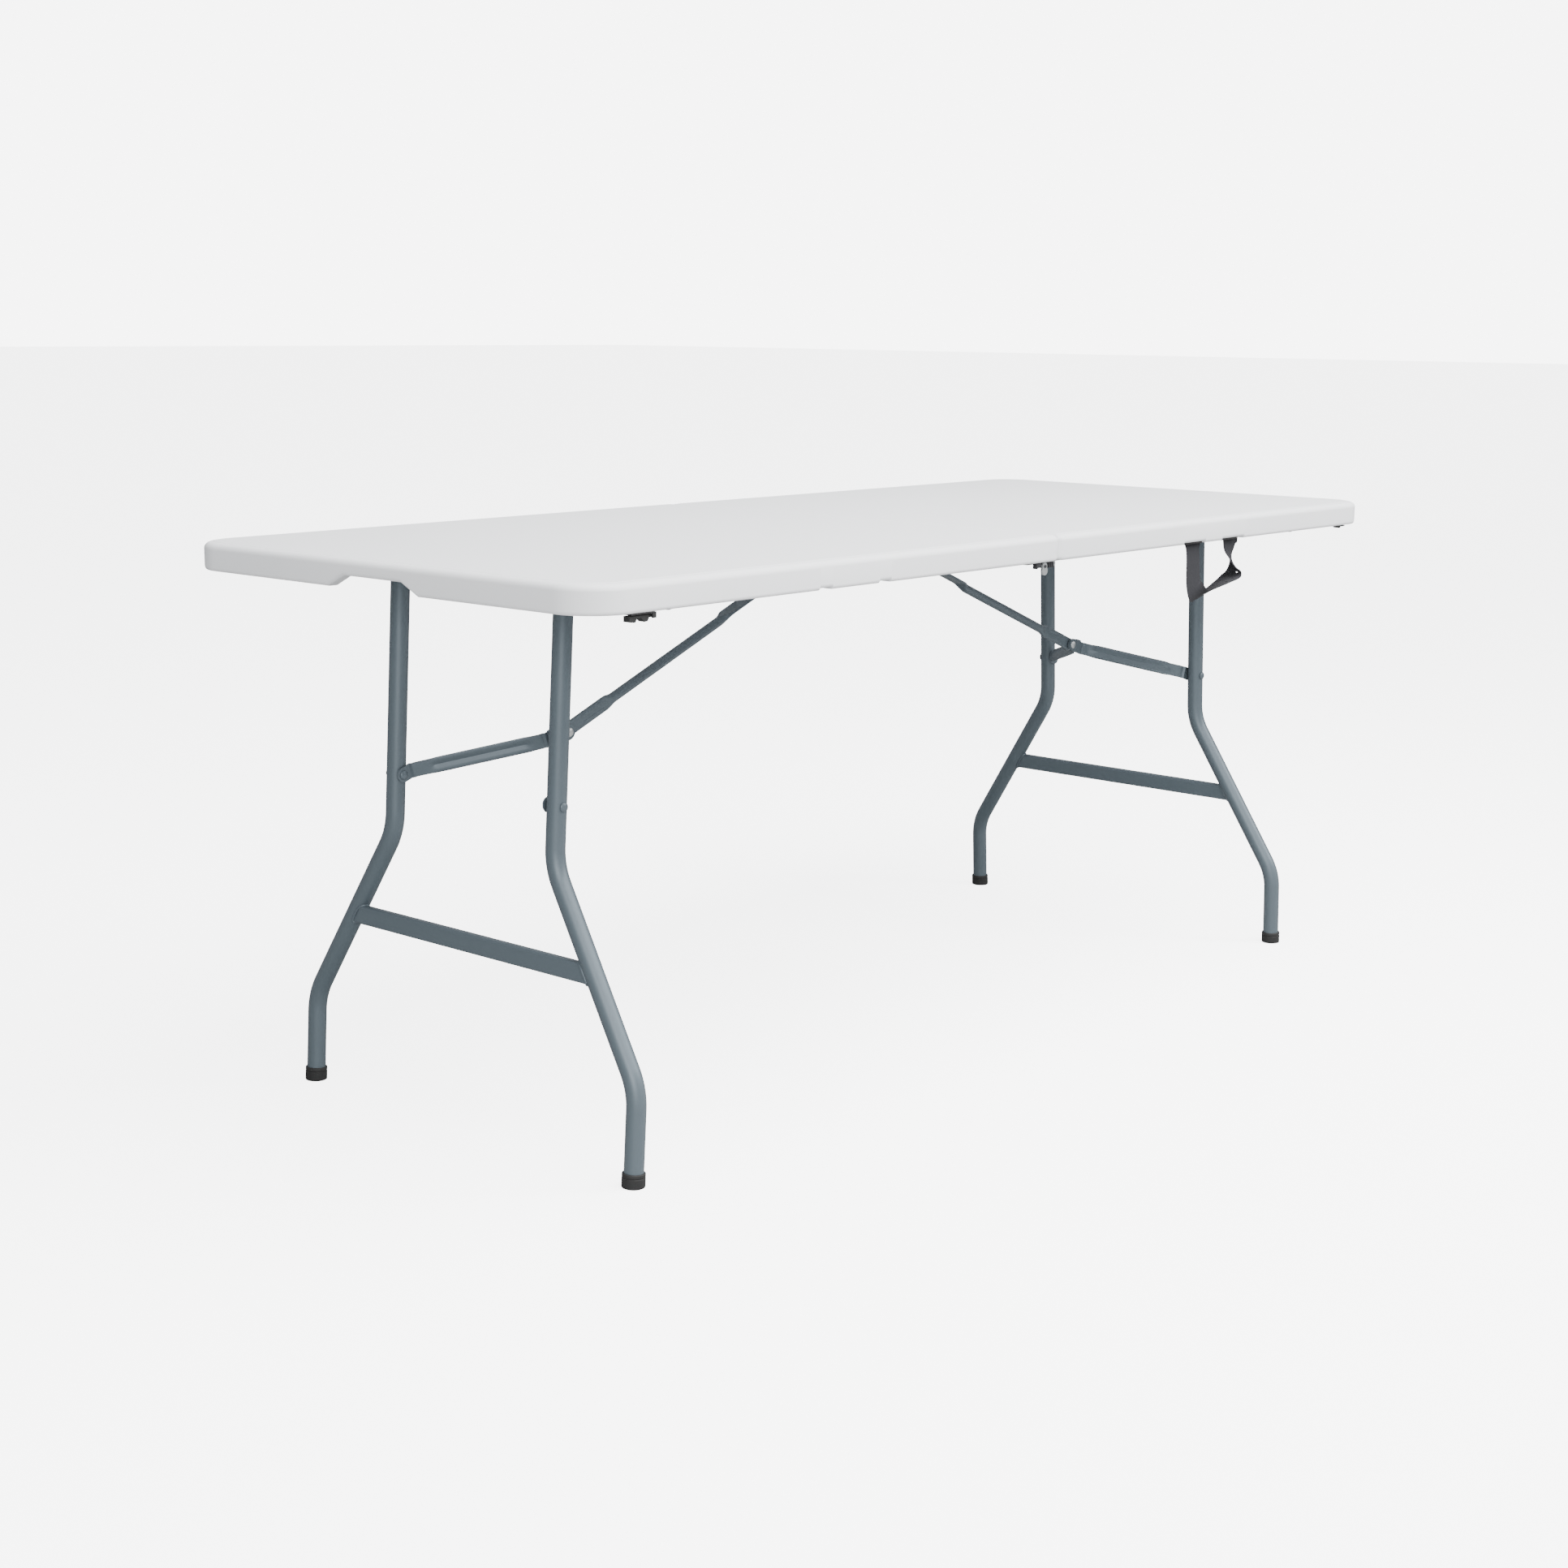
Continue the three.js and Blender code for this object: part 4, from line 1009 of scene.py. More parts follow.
# ---------------------------------------------------------------- leg frame
@dataclass
class LegFrame:
    """A wishbone frame: a cross tube, two bent legs, a flat-sided bar, welds, caps and rivets."""

    side: Side
    tube: float = 0.0125
    tube_edge: float = 0.0008
    upper_bend: float = 0.367
    lower_bend: float = 0.1196
    bend_radius: float = 0.085
    bar_height: float = 0.246
    bar: tuple[float, float] = (0.013, 0.025)
    bar_round: float = 0.0035
    bar_outward: float = 0.003
    weld: float = 0.0021
    cap_radius: float = 0.0147
    cap_height: float = 0.019
    cap_floor: float = 0.004
    rivet_head: float = 0.0062
    rivet_dome: float = 0.0024

    def __post_init__(self) -> None:
        """Reads the places of the frame."""
        self.places = EndPlaces(self.side)
        self.body = f"leg_frame_{self.side.value}"
        low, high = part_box(f"leg_tube_{self.side.value}_back")
        self.top_y = low.y + self.tube
        self.foot_y = self.places.foot.y
        drop = self.places.along_leg(self.upper_bend) - self.places.along_leg(self.lower_bend)
        self.slope = (self.foot_y - self.top_y) / drop

    def node(self, kind: str, drawn: int) -> str:
        """A node's name from its kind and the side of the middle that it is drawn on."""
        return f"{kind}_{self.side.value}_{self.side.row(drawn)}"

    def build(self) -> None:
        """Builds and dresses every piece."""
        self.build_cross_tube()
        self.build_crossbar()
        for drawn in (-1, 1):
            self.build_leg(drawn)
            self.build_cap(drawn)
            self.build_rivet(drawn)
        self.build_welds()

    def build_cross_tube(self) -> None:
        """The tube that turns in the rail brackets."""
        low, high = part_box(f"leg_cross_tube_{self.side.value}")
        bm = bmesh.new()
        run = TubeRun(bm, self.tube, Vector((0.0, low.y, 0.0)), Vector((0.0, 1.0, 0.0)))
        run.straight(high.y - low.y).close()
        rims = [e for e in bm.edges
                if len({round(v.co.y, 5) for v in e.verts}) == 1 and e.calc_face_angle(0.0) > 1.0]
        bmesh.ops.bevel(bm, geom=rims, offset=self.tube_edge, offset_type="OFFSET", segments=2, profile=0.5,
                        affect="EDGES", material=-1)
        name = f"cross_tube_{self.side.value}"
        Piece(name, self.body, Slot.HAMMERED, (f"leg_{name}",)).finish(bm, self.places.leg)

    def build_leg(self, drawn: int) -> None:
        """One bent leg."""
        upper, lower = (self.places.along_leg(h) for h in (self.upper_bend, self.lower_bend))
        down = Vector((0.0, 0.0, -1.0))
        slant = Vector((0.0, drawn * (self.foot_y - self.top_y), lower - upper))
        length, slant = slant.length, slant.normalized()
        tangent = self.bend_radius * math.tan(down.angle(slant) / 2)
        bm = bmesh.new()
        run = TubeRun(bm, self.tube, Vector((0.0, drawn * self.top_y, 0.0)), down)
        run.straight(-upper - tangent).bend(slant, self.bend_radius).straight(length - 2 * tangent)
        above_floor = lower - tangent - self.places.along_leg(0.0)
        run.bend(down, self.bend_radius).straight(above_floor - self.cap_floor).close()
        node = self.node("leg_tube", drawn)
        Piece(f"bent_{node}", self.body, Slot.HAMMERED, (node,)).finish(bm, self.places.leg)

    def build_crossbar(self) -> None:
        """The flat-sided bar, its ends inside the legs."""
        z = self.places.along_leg(self.bar_height)
        reach = self.top_y + self.slope * (self.places.along_leg(self.upper_bend) - z) - 0.003
        bm = bmesh.new()
        outlines = []
        for y in (-reach, reach):
            turn = Matrix.Translation((self.bar_outward, y, z)) @ Matrix.Rotation(math.pi / 2, 4, "X")
            outlines.append(ring(bm, *self.bar, (self.bar_round, self.bar_round), 5, turn))
        skin(bm, outlines)
        name = f"leg_crossbar_{self.side.value}"
        Piece(f"flat_{name}", self.body, Slot.HAMMERED, (name,)).finish(bm, self.places.leg)

    def bar_weld(self, drawn: int, points: int = 44) -> list[Vector]:
        """The path of the weld where the bar meets a leg."""
        z0 = self.places.along_leg(self.bar_height)
        half_x, half_z = self.bar[0] / 2 + 0.0004, self.bar[1] / 2 + 0.0004
        lean = math.cos(math.atan(self.slope))
        path = []
        for i in range(points):
            angle = 2 * math.pi * i / points
            x = half_x * math.copysign(abs(math.cos(angle)) ** 0.55, math.cos(angle)) + self.bar_outward
            z = half_z * math.copysign(abs(math.sin(angle)) ** 0.55, math.sin(angle)) + z0
            axis = self.top_y + self.slope * (self.places.along_leg(self.upper_bend) - z)
            chord = math.sqrt(max(self.tube**2 - x * x, 0.0)) / lean
            path.append(Vector((x, drawn * (axis - chord - 0.0005), z)))
        return path

    def top_weld(self, drawn: int, points: int = 56) -> list[Vector]:
        """The path of the weld where a leg meets the cross tube."""
        out = self.tube + 0.0003
        path = []
        for i in range(points):
            angle = 2 * math.pi * i / points
            x, y = out * math.cos(angle), out * math.sin(angle)
            path.append(Vector((x, drawn * self.top_y + y, -out * abs(math.sin(angle)) - 0.0004)))
        return path

    def build_welds(self) -> None:
        """The weld beads of the frame."""
        bm = bmesh.new()
        for drawn in (-1, 1):
            bead(bm, self.bar_weld(drawn), self.weld, 0.22)
            bead(bm, self.top_weld(drawn), self.weld * 0.8, 0.2)
        piece = Piece(f"weld_beads_{self.side.value}", self.body, Slot.HAMMERED, weighted=False)
        piece.finish(bm, self.places.leg)

    def build_cap(self, drawn: int) -> None:
        """A foot cap, ribbed round its collar and cut level with the floor."""
        low = self.places.along_leg(0.0) - 0.001
        r, h = self.cap_radius, self.cap_height
        rim, bore, inside = low + h, self.tube + 0.0002, low + 0.006
        sole = [(0.0, low), (r - 0.0018, low), (r - 0.0005, low + 0.0006), (r, low + 0.0018)]
        waist = r - 0.0007
        groove = [(r, rim - 0.0062), (waist, rim - 0.0056), (waist, rim - 0.0048), (r, rim - 0.0042)]
        mouth = [(r, rim - 0.0014), (r - 0.0004, rim - 0.0004), (r - 0.0012, rim), (bore, rim)]
        profile = [*sole, *groove, *mouth, (bore, inside), (0.0, inside)]
        bm = bmesh.new()
        lathe(bm, profile, 48, Matrix.Translation((0.0, drawn * self.foot_y, 0.0)))
        bmesh.ops.transform(bm, matrix=self.places.leg, verts=bm.verts)
        geom = [*bm.verts, *bm.edges, *bm.faces]
        made = bmesh.ops.bisect_plane(bm, geom=geom, plane_co=(0, 0, 0), plane_no=(0, 0, -1),
                                      clear_outer=True)
        close_loop(bm, [g for g in made["geom_cut"] if isinstance(g, BMEdge)])
        node = self.node("foot_cap", drawn)
        Piece(f"ribbed_{node}", self.body, Slot.BLACK_PLASTIC, (node,), sharp=45.0).finish(bm)

    def build_rivet(self, drawn: int) -> None:
        """The rivet that holds an arm to its leg, with a domed head at each end."""
        node = self.node("leg_rivet", drawn)
        low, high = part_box(node)
        low_y, high_y = sorted(y * self.side.sign for y in (low.y, high.y))
        z = -(self.places.arm - self.places.hinge).length
        place = Matrix.Translation((0.0, 0.0, z)) @ Matrix.Rotation(-math.pi / 2, 4, "X")
        bm = bmesh.new()
        lathe(bm, rivet_profile(low_y, high_y, self.rivet_head, self.rivet_dome), 32, place)
        Piece(f"domed_{node}", self.body, Slot.HAMMERED, (node,)).finish(bm, self.places.leg)


def smooth(share: float) -> float:
    """A share eased at both of its ends."""
    return share * share * (3 - 2 * share)


def across_x(x: float, y: float = 0.0, z: float = 0.0) -> Matrix:
    """The place of an outline that lies across X: its own X runs along Y, and its own Y along Z."""
    return Matrix((Vector((0, 0, 1, x)), Vector((1, 0, 0, y)), Vector((0, 1, 0, z)), Vector((0, 0, 0, 1))))


def dome_profile(top: float, head: float, dome: float, steps: int = 5) -> list[tuple[float, float]]:
    """The profile of a domed head from its top to its edge, as (radius, height) points."""
    angles = [math.pi / 2 * i / steps for i in range(steps + 1)]
    return [(head * math.sin(a), top - dome + dome * math.cos(a)) for a in angles]


def rivet_profile(low: float, high: float, head: float, dome: float) -> list[tuple[float, float]]:
    """The profile of a rivet between two ends of its heads, as (radius, height) points."""
    above = dome_profile(high, head, dome)
    below = [(r, -h) for r, h in reversed(dome_profile(-low, head, dome))]
    return [*above, (head / 2, high - dome), (head / 2, low + dome), *below]


# ---------------------------------------------------------------- knee brace
@dataclass(frozen=True)
class Section:
    """One section of the brace tube, across its length."""

    x: float
    width: float
    height: float
    corner: float
    middle: float = 0.0

    def towards(self, other: "Section", share: float) -> "Section":
        """The section at a share of the way to another one, with an eased change of shape."""
        eased = smooth(share)
        return Section(self.x + (other.x - self.x) * share, self.width + (other.width - self.width) * eased,
                       self.height + (other.height - self.height) * eased,
                       self.corner + (other.corner - self.corner) * eased,
                       self.middle + (other.middle - self.middle) * eased)

    def draw(self, bm: BMesh) -> list[BMEdge]:
        """Adds the section's outline."""
        place = across_x(self.x, 0.0, self.middle)
        return ring(bm, self.width, self.height, (self.corner, self.corner), 5, place)


@dataclass
class KneeBrace:
    """Two pressed arms, the folded sheet and rivet that join them, and the tube up to the table's middle."""

    side: Side
    arm_half: float = 0.010
    arm_sheet: float = 0.0025
    arm_tab: float = 0.014
    arm_knuckle_tab: float = 0.028
    arm_bead: float = 0.004
    arm_bead_run: tuple[float, float] = (0.030, 0.036)
    arm_bead_fade: float = 0.010
    arm_bead_half: float = 0.72
    arm_lip: float = 0.0011
    arm_lip_from: float = 0.85
    arm_soft: float = 0.05
    leg_y: float = 0.1358
    knuckle_y: float = 0.00705
    flat: tuple[float, float] = (0.0056, 0.020)
    rod: float = 0.0068
    flat_end: float = 0.078
    taper: float = 0.016
    flat_corner: float = 0.42
    rod_corner: float = 0.495
    end_steps: int = 6
    taper_steps: int = 8
    groove: float = 0.0011
    ridge_start: float = 0.029
    ridge_stop: float = 0.004
    ridge_z: float = 0.0052
    ridge_half: float = 0.0026
    top_start: float = 0.318
    top_taper: float = 0.020
    top_flat: tuple[float, float] = (0.024, 0.0040)
    top_middle: float = 0.0036
    strip_end: float = 0.012
    eye: tuple[float, float] = (0.0054, 0.008)
    eye_edge: float = 0.0005
    eye_strip: tuple[float, float] = (0.0122, 0.0056)
    knuckle_head: tuple[float, float] = (0.0062, 0.0024)

    def __post_init__(self) -> None:
        """Reads the places of the links."""
        self.places = EndPlaces(self.side)
        self.arms = self.places.link(self.places.arm, self.places.knuckle)
        self.tube = self.places.link(self.places.knuckle, self.places.pin)
        self.arm_length = (self.places.knuckle - self.places.arm).length
        self.tube_length = (self.places.pin - self.places.knuckle).length
        self.body = f"brace_arms_{self.side.value}"

    def build(self) -> None:
        """Builds and dresses every piece."""
        for drawn in (-1, 1):
            self.build_arm(drawn)
        clevis = f"brace_clevis_{self.side.value}"
        SoftenedNode(clevis, self.body, Slot.HAMMERED, width=0.0007, segments=3).build()
        for drawn in (-1, 1):
            self.build_knuckle_rivet(drawn)
        self.build_tube()

    def arm_line(self, x: float) -> float:
        """How far an arm's middle stands from the middle plane at a place along it."""
        start, end = self.arm_tab, self.arm_length - self.arm_knuckle_tab
        share = min(max((x - start) / (end - start), 0.0), 1.0)
        soft = self.arm_soft
        if 0 < share <= soft:
            share = share**2 / (2 * soft) + soft / 2
        elif 1 - soft <= share < 1:
            share = 1 - (1 - share) ** 2 / (2 * soft) - soft / 2
        return self.leg_y + (self.knuckle_y - self.leg_y) * share

    def build_arm(self, drawn: int) -> None:
        """One arm: a strip with rounded ends and a ridge pressed along its slanting part."""
        bm = bmesh.new()
        half, length = self.arm_half, self.arm_length
        bmesh.ops.create_grid(bm, x_segments=110, y_segments=14, size=0.5)
        span = length + 2 * half
        ridge_start, ridge_end = self.arm_bead_run[0], length - self.arm_bead_run[1]
        for vert in bm.verts:
            x = (vert.co.x + 0.5) * span - half
            w = vert.co.y * 2
            past = max(-x, x - length, 0.0)
            reach = math.sqrt(max(half * half - past * past, 0.0))
            inward = [min(max(d / self.arm_bead_fade, 0.0), 1.0) for d in (x - ridge_start, ridge_end - x)]
            fade = smooth(inward[0] * inward[1])
            ridge = self.arm_bead * max(0.0, 1 - abs(w) / self.arm_bead_half) * fade
            lip = self.arm_lip * fade * max(0.0, (abs(w) - self.arm_lip_from) / (1 - self.arm_lip_from))
            near = self.arm_line(min(max(x, 0.0), length))
            vert.co = Vector((x, drawn * (near + ridge + lip), reach * w))
        bmesh.ops.remove_doubles(bm, verts=bm.verts, dist=MERGE)
        bmesh.ops.recalc_face_normals(bm, faces=bm.faces)
        self.thicken(bm, drawn)
        # a link's own Y runs towards -Y of its end
        node = f"brace_arm_{self.side.value}_{self.side.row(-drawn)}"
        Piece(f"pressed_{node}", self.body, Slot.HAMMERED, (node,), sharp=40.0).finish(bm, self.arms)

    def thicken(self, bm: BMesh, drawn: int) -> None:
        """Gives a sheet drawn on its middle its thickness, half to each side."""
        outside = [f for f in bm.faces if f.normal.y * drawn < 0]
        bmesh.ops.reverse_faces(bm, faces=outside)
        bmesh.ops.solidify(bm, geom=bm.faces[:], thickness=self.arm_sheet)
        bmesh.ops.translate(bm, vec=(0.0, drawn * self.arm_sheet / 2, 0.0), verts=bm.verts)

    def build_knuckle_rivet(self, drawn: int) -> None:
        """One half of the knuckle's rivet: its domed head and the shank as far as the brace's eye."""
        node = f"knuckle_rivet_{self.side.value}_{self.side.row(-drawn)}"
        inner, outer = sorted(abs(corner.y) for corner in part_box(node))
        head, dome = self.knuckle_head
        shank = [(head / 2, outer - dome), (head / 2, inner), (0.0, inner)]
        profile = [*dome_profile(outer, head, dome), *shank]
        turn = Matrix.Rotation(-drawn * math.pi / 2, 4, "X")
        place = Matrix.Translation((self.arm_length, 0.0, 0.0)) @ turn
        bm = bmesh.new()
        lathe(bm, profile, 32, place)
        Piece(f"domed_{node}", self.body, Slot.ZINC, (node,)).finish(bm, self.arms)

    def strip(self, x: float) -> Section:
        """The flat upper end's section at a place."""
        wide, low = self.top_flat
        return Section(x, wide, low, self.flat_corner * low, self.top_middle)

    def tube_sections(self) -> list[Section]:
        """The tube's sections, from the knuckle up."""
        thick, tall = self.flat
        corner = self.flat_corner * thick
        rod = 2 * self.rod
        rows = []
        for i in range(self.end_steps + 1):
            angle = math.pi / 2 * i / self.end_steps
            height = tall * max(math.sin(angle), 0.08)
            rows.append(Section(-tall / 2 * math.cos(angle), thick, height, corner))
        flat = Section(self.flat_end, thick, tall, corner)
        rod_low, rod_high = (Section(x, rod, rod, self.rod_corner * rod)
                             for x in (self.flat_end + self.taper, self.top_start))
        shares = [(i + 1) / self.taper_steps for i in range(self.taper_steps)]
        rows += [flat, *(flat.towards(rod_low, share) for share in shares)]
        strip = self.strip(self.top_start + self.top_taper)
        rows += [rod_high, *(rod_high.towards(strip, share) for share in shares)]
        rows.append(self.strip(self.tube_length - self.strip_end))
        return rows

    def build_tube(self) -> None:
        """The tube: flat on edge at the knuckle, round, then flat on its face, with an eye at the pin."""
        bm = bmesh.new()
        skin(bm, [section.draw(bm) for section in self.tube_sections()])
        self.roll_eye(bm)
        node = f"brace_tube_{self.side.value}"
        piece = Piece(f"pressed_{node}", f"brace_{self.side.value}", Slot.HAMMERED, (node,), sharp=50.0)
        piece.finish(bm, self.tube)
        self.build_grooves()

    def roll_eye(self, bm: BMesh) -> None:
        """Adds the eye round the pin, with the strip running onto it."""
        inner, outer = self.eye
        half, edge = self.top_flat[0] / 2, self.eye_edge
        turn = Matrix.Translation((self.tube_length, 0.0, 0.0)) @ Matrix.Rotation(math.pi / 2, 4, "X")
        profile = ((inner, -half), (outer - edge, -half), (outer, -half + edge), (outer, half - edge),
                   (outer - edge, half), (inner, half))
        fresh = bmesh.new()
        loops = [round_outline(fresh, r, 36, turn @ Matrix.Translation((0, 0, z))) for r, z in profile]
        skin(fresh, loops, capped=False, apart=turn.to_3x3() @ Vector((0.0, 0.0, 1.0)))
        bmesh.ops.bridge_loops(fresh, edges=[*loops[-1], *loops[0]])
        absorb(bm, fresh)
        skin(bm, [self.strip(self.tube_length - back).draw(bm) for back in self.eye_strip])

    def build_grooves(self) -> None:
        """The two ridges pressed along each face of the flat, which leave a groove between them."""
        start, end = self.ridge_start, self.flat_end - self.ridge_stop
        rows = [(start, 0.2), (start + 0.003, 0.8), (start + 0.006, 1.0),
                (end - 0.006, 1.0), (end - 0.003, 0.8), (end, 0.2)]
        bm = bmesh.new()
        for face in (-1, 1):
            y = face * (self.flat[0] / 2 - 0.0002)
            for z in (-self.ridge_z, self.ridge_z):
                outlines = []
                for x, share in rows:
                    half = self.ridge_half * (0.5 + 0.5 * share)
                    size = Matrix.Diagonal((self.groove * share, half, 1.0, 1.0))
                    outlines.append(round_outline(bm, 1.0, 16, across_x(x, y, z) @ size))
                skin(bm, outlines)
        name = f"brace_ridges_{self.side.value}"
        Piece(name, f"brace_{self.side.value}", Slot.HAMMERED).finish(bm, self.tube)


# ---------------------------------------------------------------- carry strap
@dataclass(frozen=True)
class Station:
    """A place on the webbing's middle line, the way across the webbing there, and its width."""

    middle: Vector
    across: Vector
    width: float


@dataclass
class CarryStrap:
    """A loop of webbing between two anchor plates: the near limb faces front, and its far limb is twisted."""

    width: float = 0.0365
    thick: float = 0.0018
    tuck: float = 0.0021
    cells: tuple[int, int] = (20, 150)
    fine: int = 600
    hole_columns: tuple[int, int] = (15, 5)
    hole_first: float = 0.118
    hole_pitch: float = 0.009
    hole_count: int = 9
    hole_stretch: float = 1.25
    body: str = "carry_strap"

    def stations(self) -> list[Station]:
        """The webbing's stations, from the near anchor down, along the bottom and up to the far anchor."""
        low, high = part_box(self.body)
        line_y = (low.y + high.y) / 2
        end = high.z + self.tuck - low.z
        # metres from the loop's lower corner and its middle plane; the way across; the share of the width
        rows = [
            ((0.0286, 0.0000, end - 0.0004), (1, 0, 0), 1.2),
            ((0.0286, -0.0006, end - 0.0080), (1, 0, 0), 1.02),
            ((0.0303, -0.0010, 0.0575), (1, -0.02, 0), 1.0),
            ((0.0319, -0.0010, 0.0373), (1, -0.04, 0), 1.0),
            ((0.0343, -0.0010, 0.0230), (1, -0.06, 0.06), 1.0),
            ((0.0407, -0.0010, 0.0113), (0.93, -0.15, 0.30), 0.95),
            ((0.0554, 0.0000, 0.0037), (0.8, -0.45, 0.40), 0.75),
            ((0.0719, 0.0010, 0.0042), (0.3, -0.75, 0.55), 0.8),
            ((0.0873, 0.0010, 0.0080), (0.1, -0.88, 0.42), 0.95),
            ((0.1042, 0.0010, 0.0128), (0.05, -0.93, 0.30), 1.0),
            ((0.1201, 0.0005, 0.0172), (0, -0.96, 0.20), 1.0),
            ((0.1377, 0.0000, 0.0222), (0, -1, 0.10), 1.0),
            ((0.1470, 0.0000, 0.0265), (-0.1, -0.98, 0.04), 1.0),
            ((0.1515, 0.0000, 0.0330), (-0.4, -0.90, 0), 0.95),
            ((0.1510, 0.0000, 0.0416), (-0.66, -0.75, 0), 0.9),
            ((0.1463, 0.0000, 0.0513), (-0.85, -0.52, 0), 0.9),
            ((0.1419, 0.0000, 0.0640), (-0.96, -0.20, 0), 0.96),
            ((0.1390, 0.0000, end - 0.0090), (-1, 0, 0), 1.05),
            ((0.1388, 0.0000, end - 0.0004), (-1, 0, 0), 1.2),
        ]
        corner = Vector((low.x, line_y, low.z))
        return [Station(corner + Vector(place), Vector(across).normalized(), share * self.width)
                for place, across, share in rows]

    @staticmethod
    def curve(values: Sequence[Vector], share: float) -> Vector:
        """A point on the smooth curve through some values, at a share of the way."""
        place = min(share * (len(values) - 1), len(values) - 1.0001)
        i = int(place)
        t = place - i
        p = [values[min(max(k, 0), len(values) - 1)] for k in (i - 1, i, i + 1, i + 2)]
        return 0.5 * (2 * p[1] + (p[2] - p[0]) * t + (2 * p[0] - 5 * p[1] + 4 * p[2] - p[3]) * t * t
                      + (3 * p[1] - p[0] - 3 * p[2] + p[3]) * t**3)

    def run_lengths(self, middles: Sequence[Vector]) -> list[float]:
        """How far along the middle line each of many even shares of it lies."""
        lengths = [0.0]
        for i in range(self.fine):
            step = self.curve(middles, (i + 1) / self.fine) - self.curve(middles, i / self.fine)
            lengths.append(lengths[-1] + step.length)
        return lengths

    def share_at(self, lengths: Sequence[float], distance: float) -> float:
        """The share of the curve at a distance along it."""
        index = next((k for k, length in enumerate(lengths) if length >= distance), self.fine)
        share = index / self.fine
        if index > 0:
            step = lengths[index] - lengths[index - 1]
            share -= (lengths[index] - distance) / step / self.fine if step > 0 else 0.0
        return share

    def build(self) -> None:
        """Lays the webbing out flat, punches it and bends it along its stations."""
        stations = self.stations()
        middles = [station.middle for station in stations]
        ways = [station.across for station in stations]
        widths = [Vector((station.width, 0.0, 0.0)) for station in stations]
        lengths = self.run_lengths(middles)
        total = lengths[-1]
        bm = bmesh.new()
        across, along = self.cells
        bmesh.ops.create_grid(bm, x_segments=across, y_segments=along, size=0.5, calc_uvs=False)
        laid = bm.loops.layers.uv.new(UV_NAME)
        for loop in (loop for face in bm.faces for loop in face.loops):
            loop[laid].uv = (loop.vert.co.x * self.width, (loop.vert.co.y + 0.5) * total)
        self.punch(bm, total)
        for vert in bm.verts:
            aside, share = vert.co.x, self.share_at(lengths, (vert.co.y + 0.5) * total)
            ahead, behind = min(share + 0.002, 1.0), max(share - 0.002, 0.0)
            heading = self.curve(middles, ahead) - self.curve(middles, behind)
            way = self.curve(ways, share)
            way = (way - heading * (way.dot(heading) / heading.length_squared)).normalized()
            vert.co = self.curve(middles, share) + way * (aside * self.curve(widths, share).x)
        bmesh.ops.solidify(bm, geom=bm.faces[:], thickness=self.thick)
        Piece("webbing_loop", self.body, Slot.WEBBING, ("carry_strap",), sharp=60.0).finish(bm)
        LOG.info("the webbing is %.0f mm long", total / MM)

    def punch(self, bm: BMesh, total: float) -> None:
        """Cuts oval holes through the flat webbing, in two rows by turns."""
        dx, dy = 1.0 / self.cells[0], 1.0 / self.cells[1]
        for k in range(self.hole_count):
            row = round((self.hole_first + self.hole_pitch * k) / total / dy)
            centre = Vector((self.hole_columns[k % 2] * dx - 0.5, row * dy - 0.5, 0.0))
            offsets = {face: face.calc_center_median() - centre for face in bm.faces}
            cut = [face for face, offset in offsets.items() if abs(offset.x) < dx and abs(offset.y) < dy]
            rim = {v for face in cut for v in face.verts if (v.co - centre).length > 0.3 * dy}
            bmesh.ops.delete(bm, geom=cut, context="FACES")
            for vert in rim:
                offset = vert.co - centre
                angle = math.atan2(offset.y / dy, offset.x / dx)
                oval = Vector((math.cos(angle) * dx, math.sin(angle) * dy, 0.0))
                vert.co = centre + oval * self.hole_stretch


# ---------------------------------------------------------------- small fittings
@dataclass
class Fittings:
    """Hinge pins, the seam latch, the closing clip and peg, and the strap's anchor plates."""

    def build(self) -> None:
        """Builds and dresses every piece."""
        for row in ("front", "back"):
            SoftenedNode(f"hinge_pin_{row}", "half_left", Slot.ZINC, width=0.0003).build()
        SoftenedNode("latch_bracket", "half_left", Slot.BLACK_STEEL, width=0.0005).build()
        SoftenedNode("latch_tongue", "latch_tongue", Slot.ZINC, width=0.0006, segments=3).build()
        SoftenedNode("clip_base", "half_left", Slot.BLACK_PLASTIC).build()
        SoftenedNode("closing_clip", "closing_clip", Slot.BLACK_PLASTIC, width=0.0006, segments=3).build()
        SoftenedNode("closing_peg", "half_right", Slot.BLACK_PLASTIC, width=0.0005).build()
        for place in ("inner", "outer"):
            anchor = f"strap_anchor_{place}"
            SoftenedNode(anchor, "half_right", Slot.BLACK_PLASTIC, width=0.0006, segments=3).build()


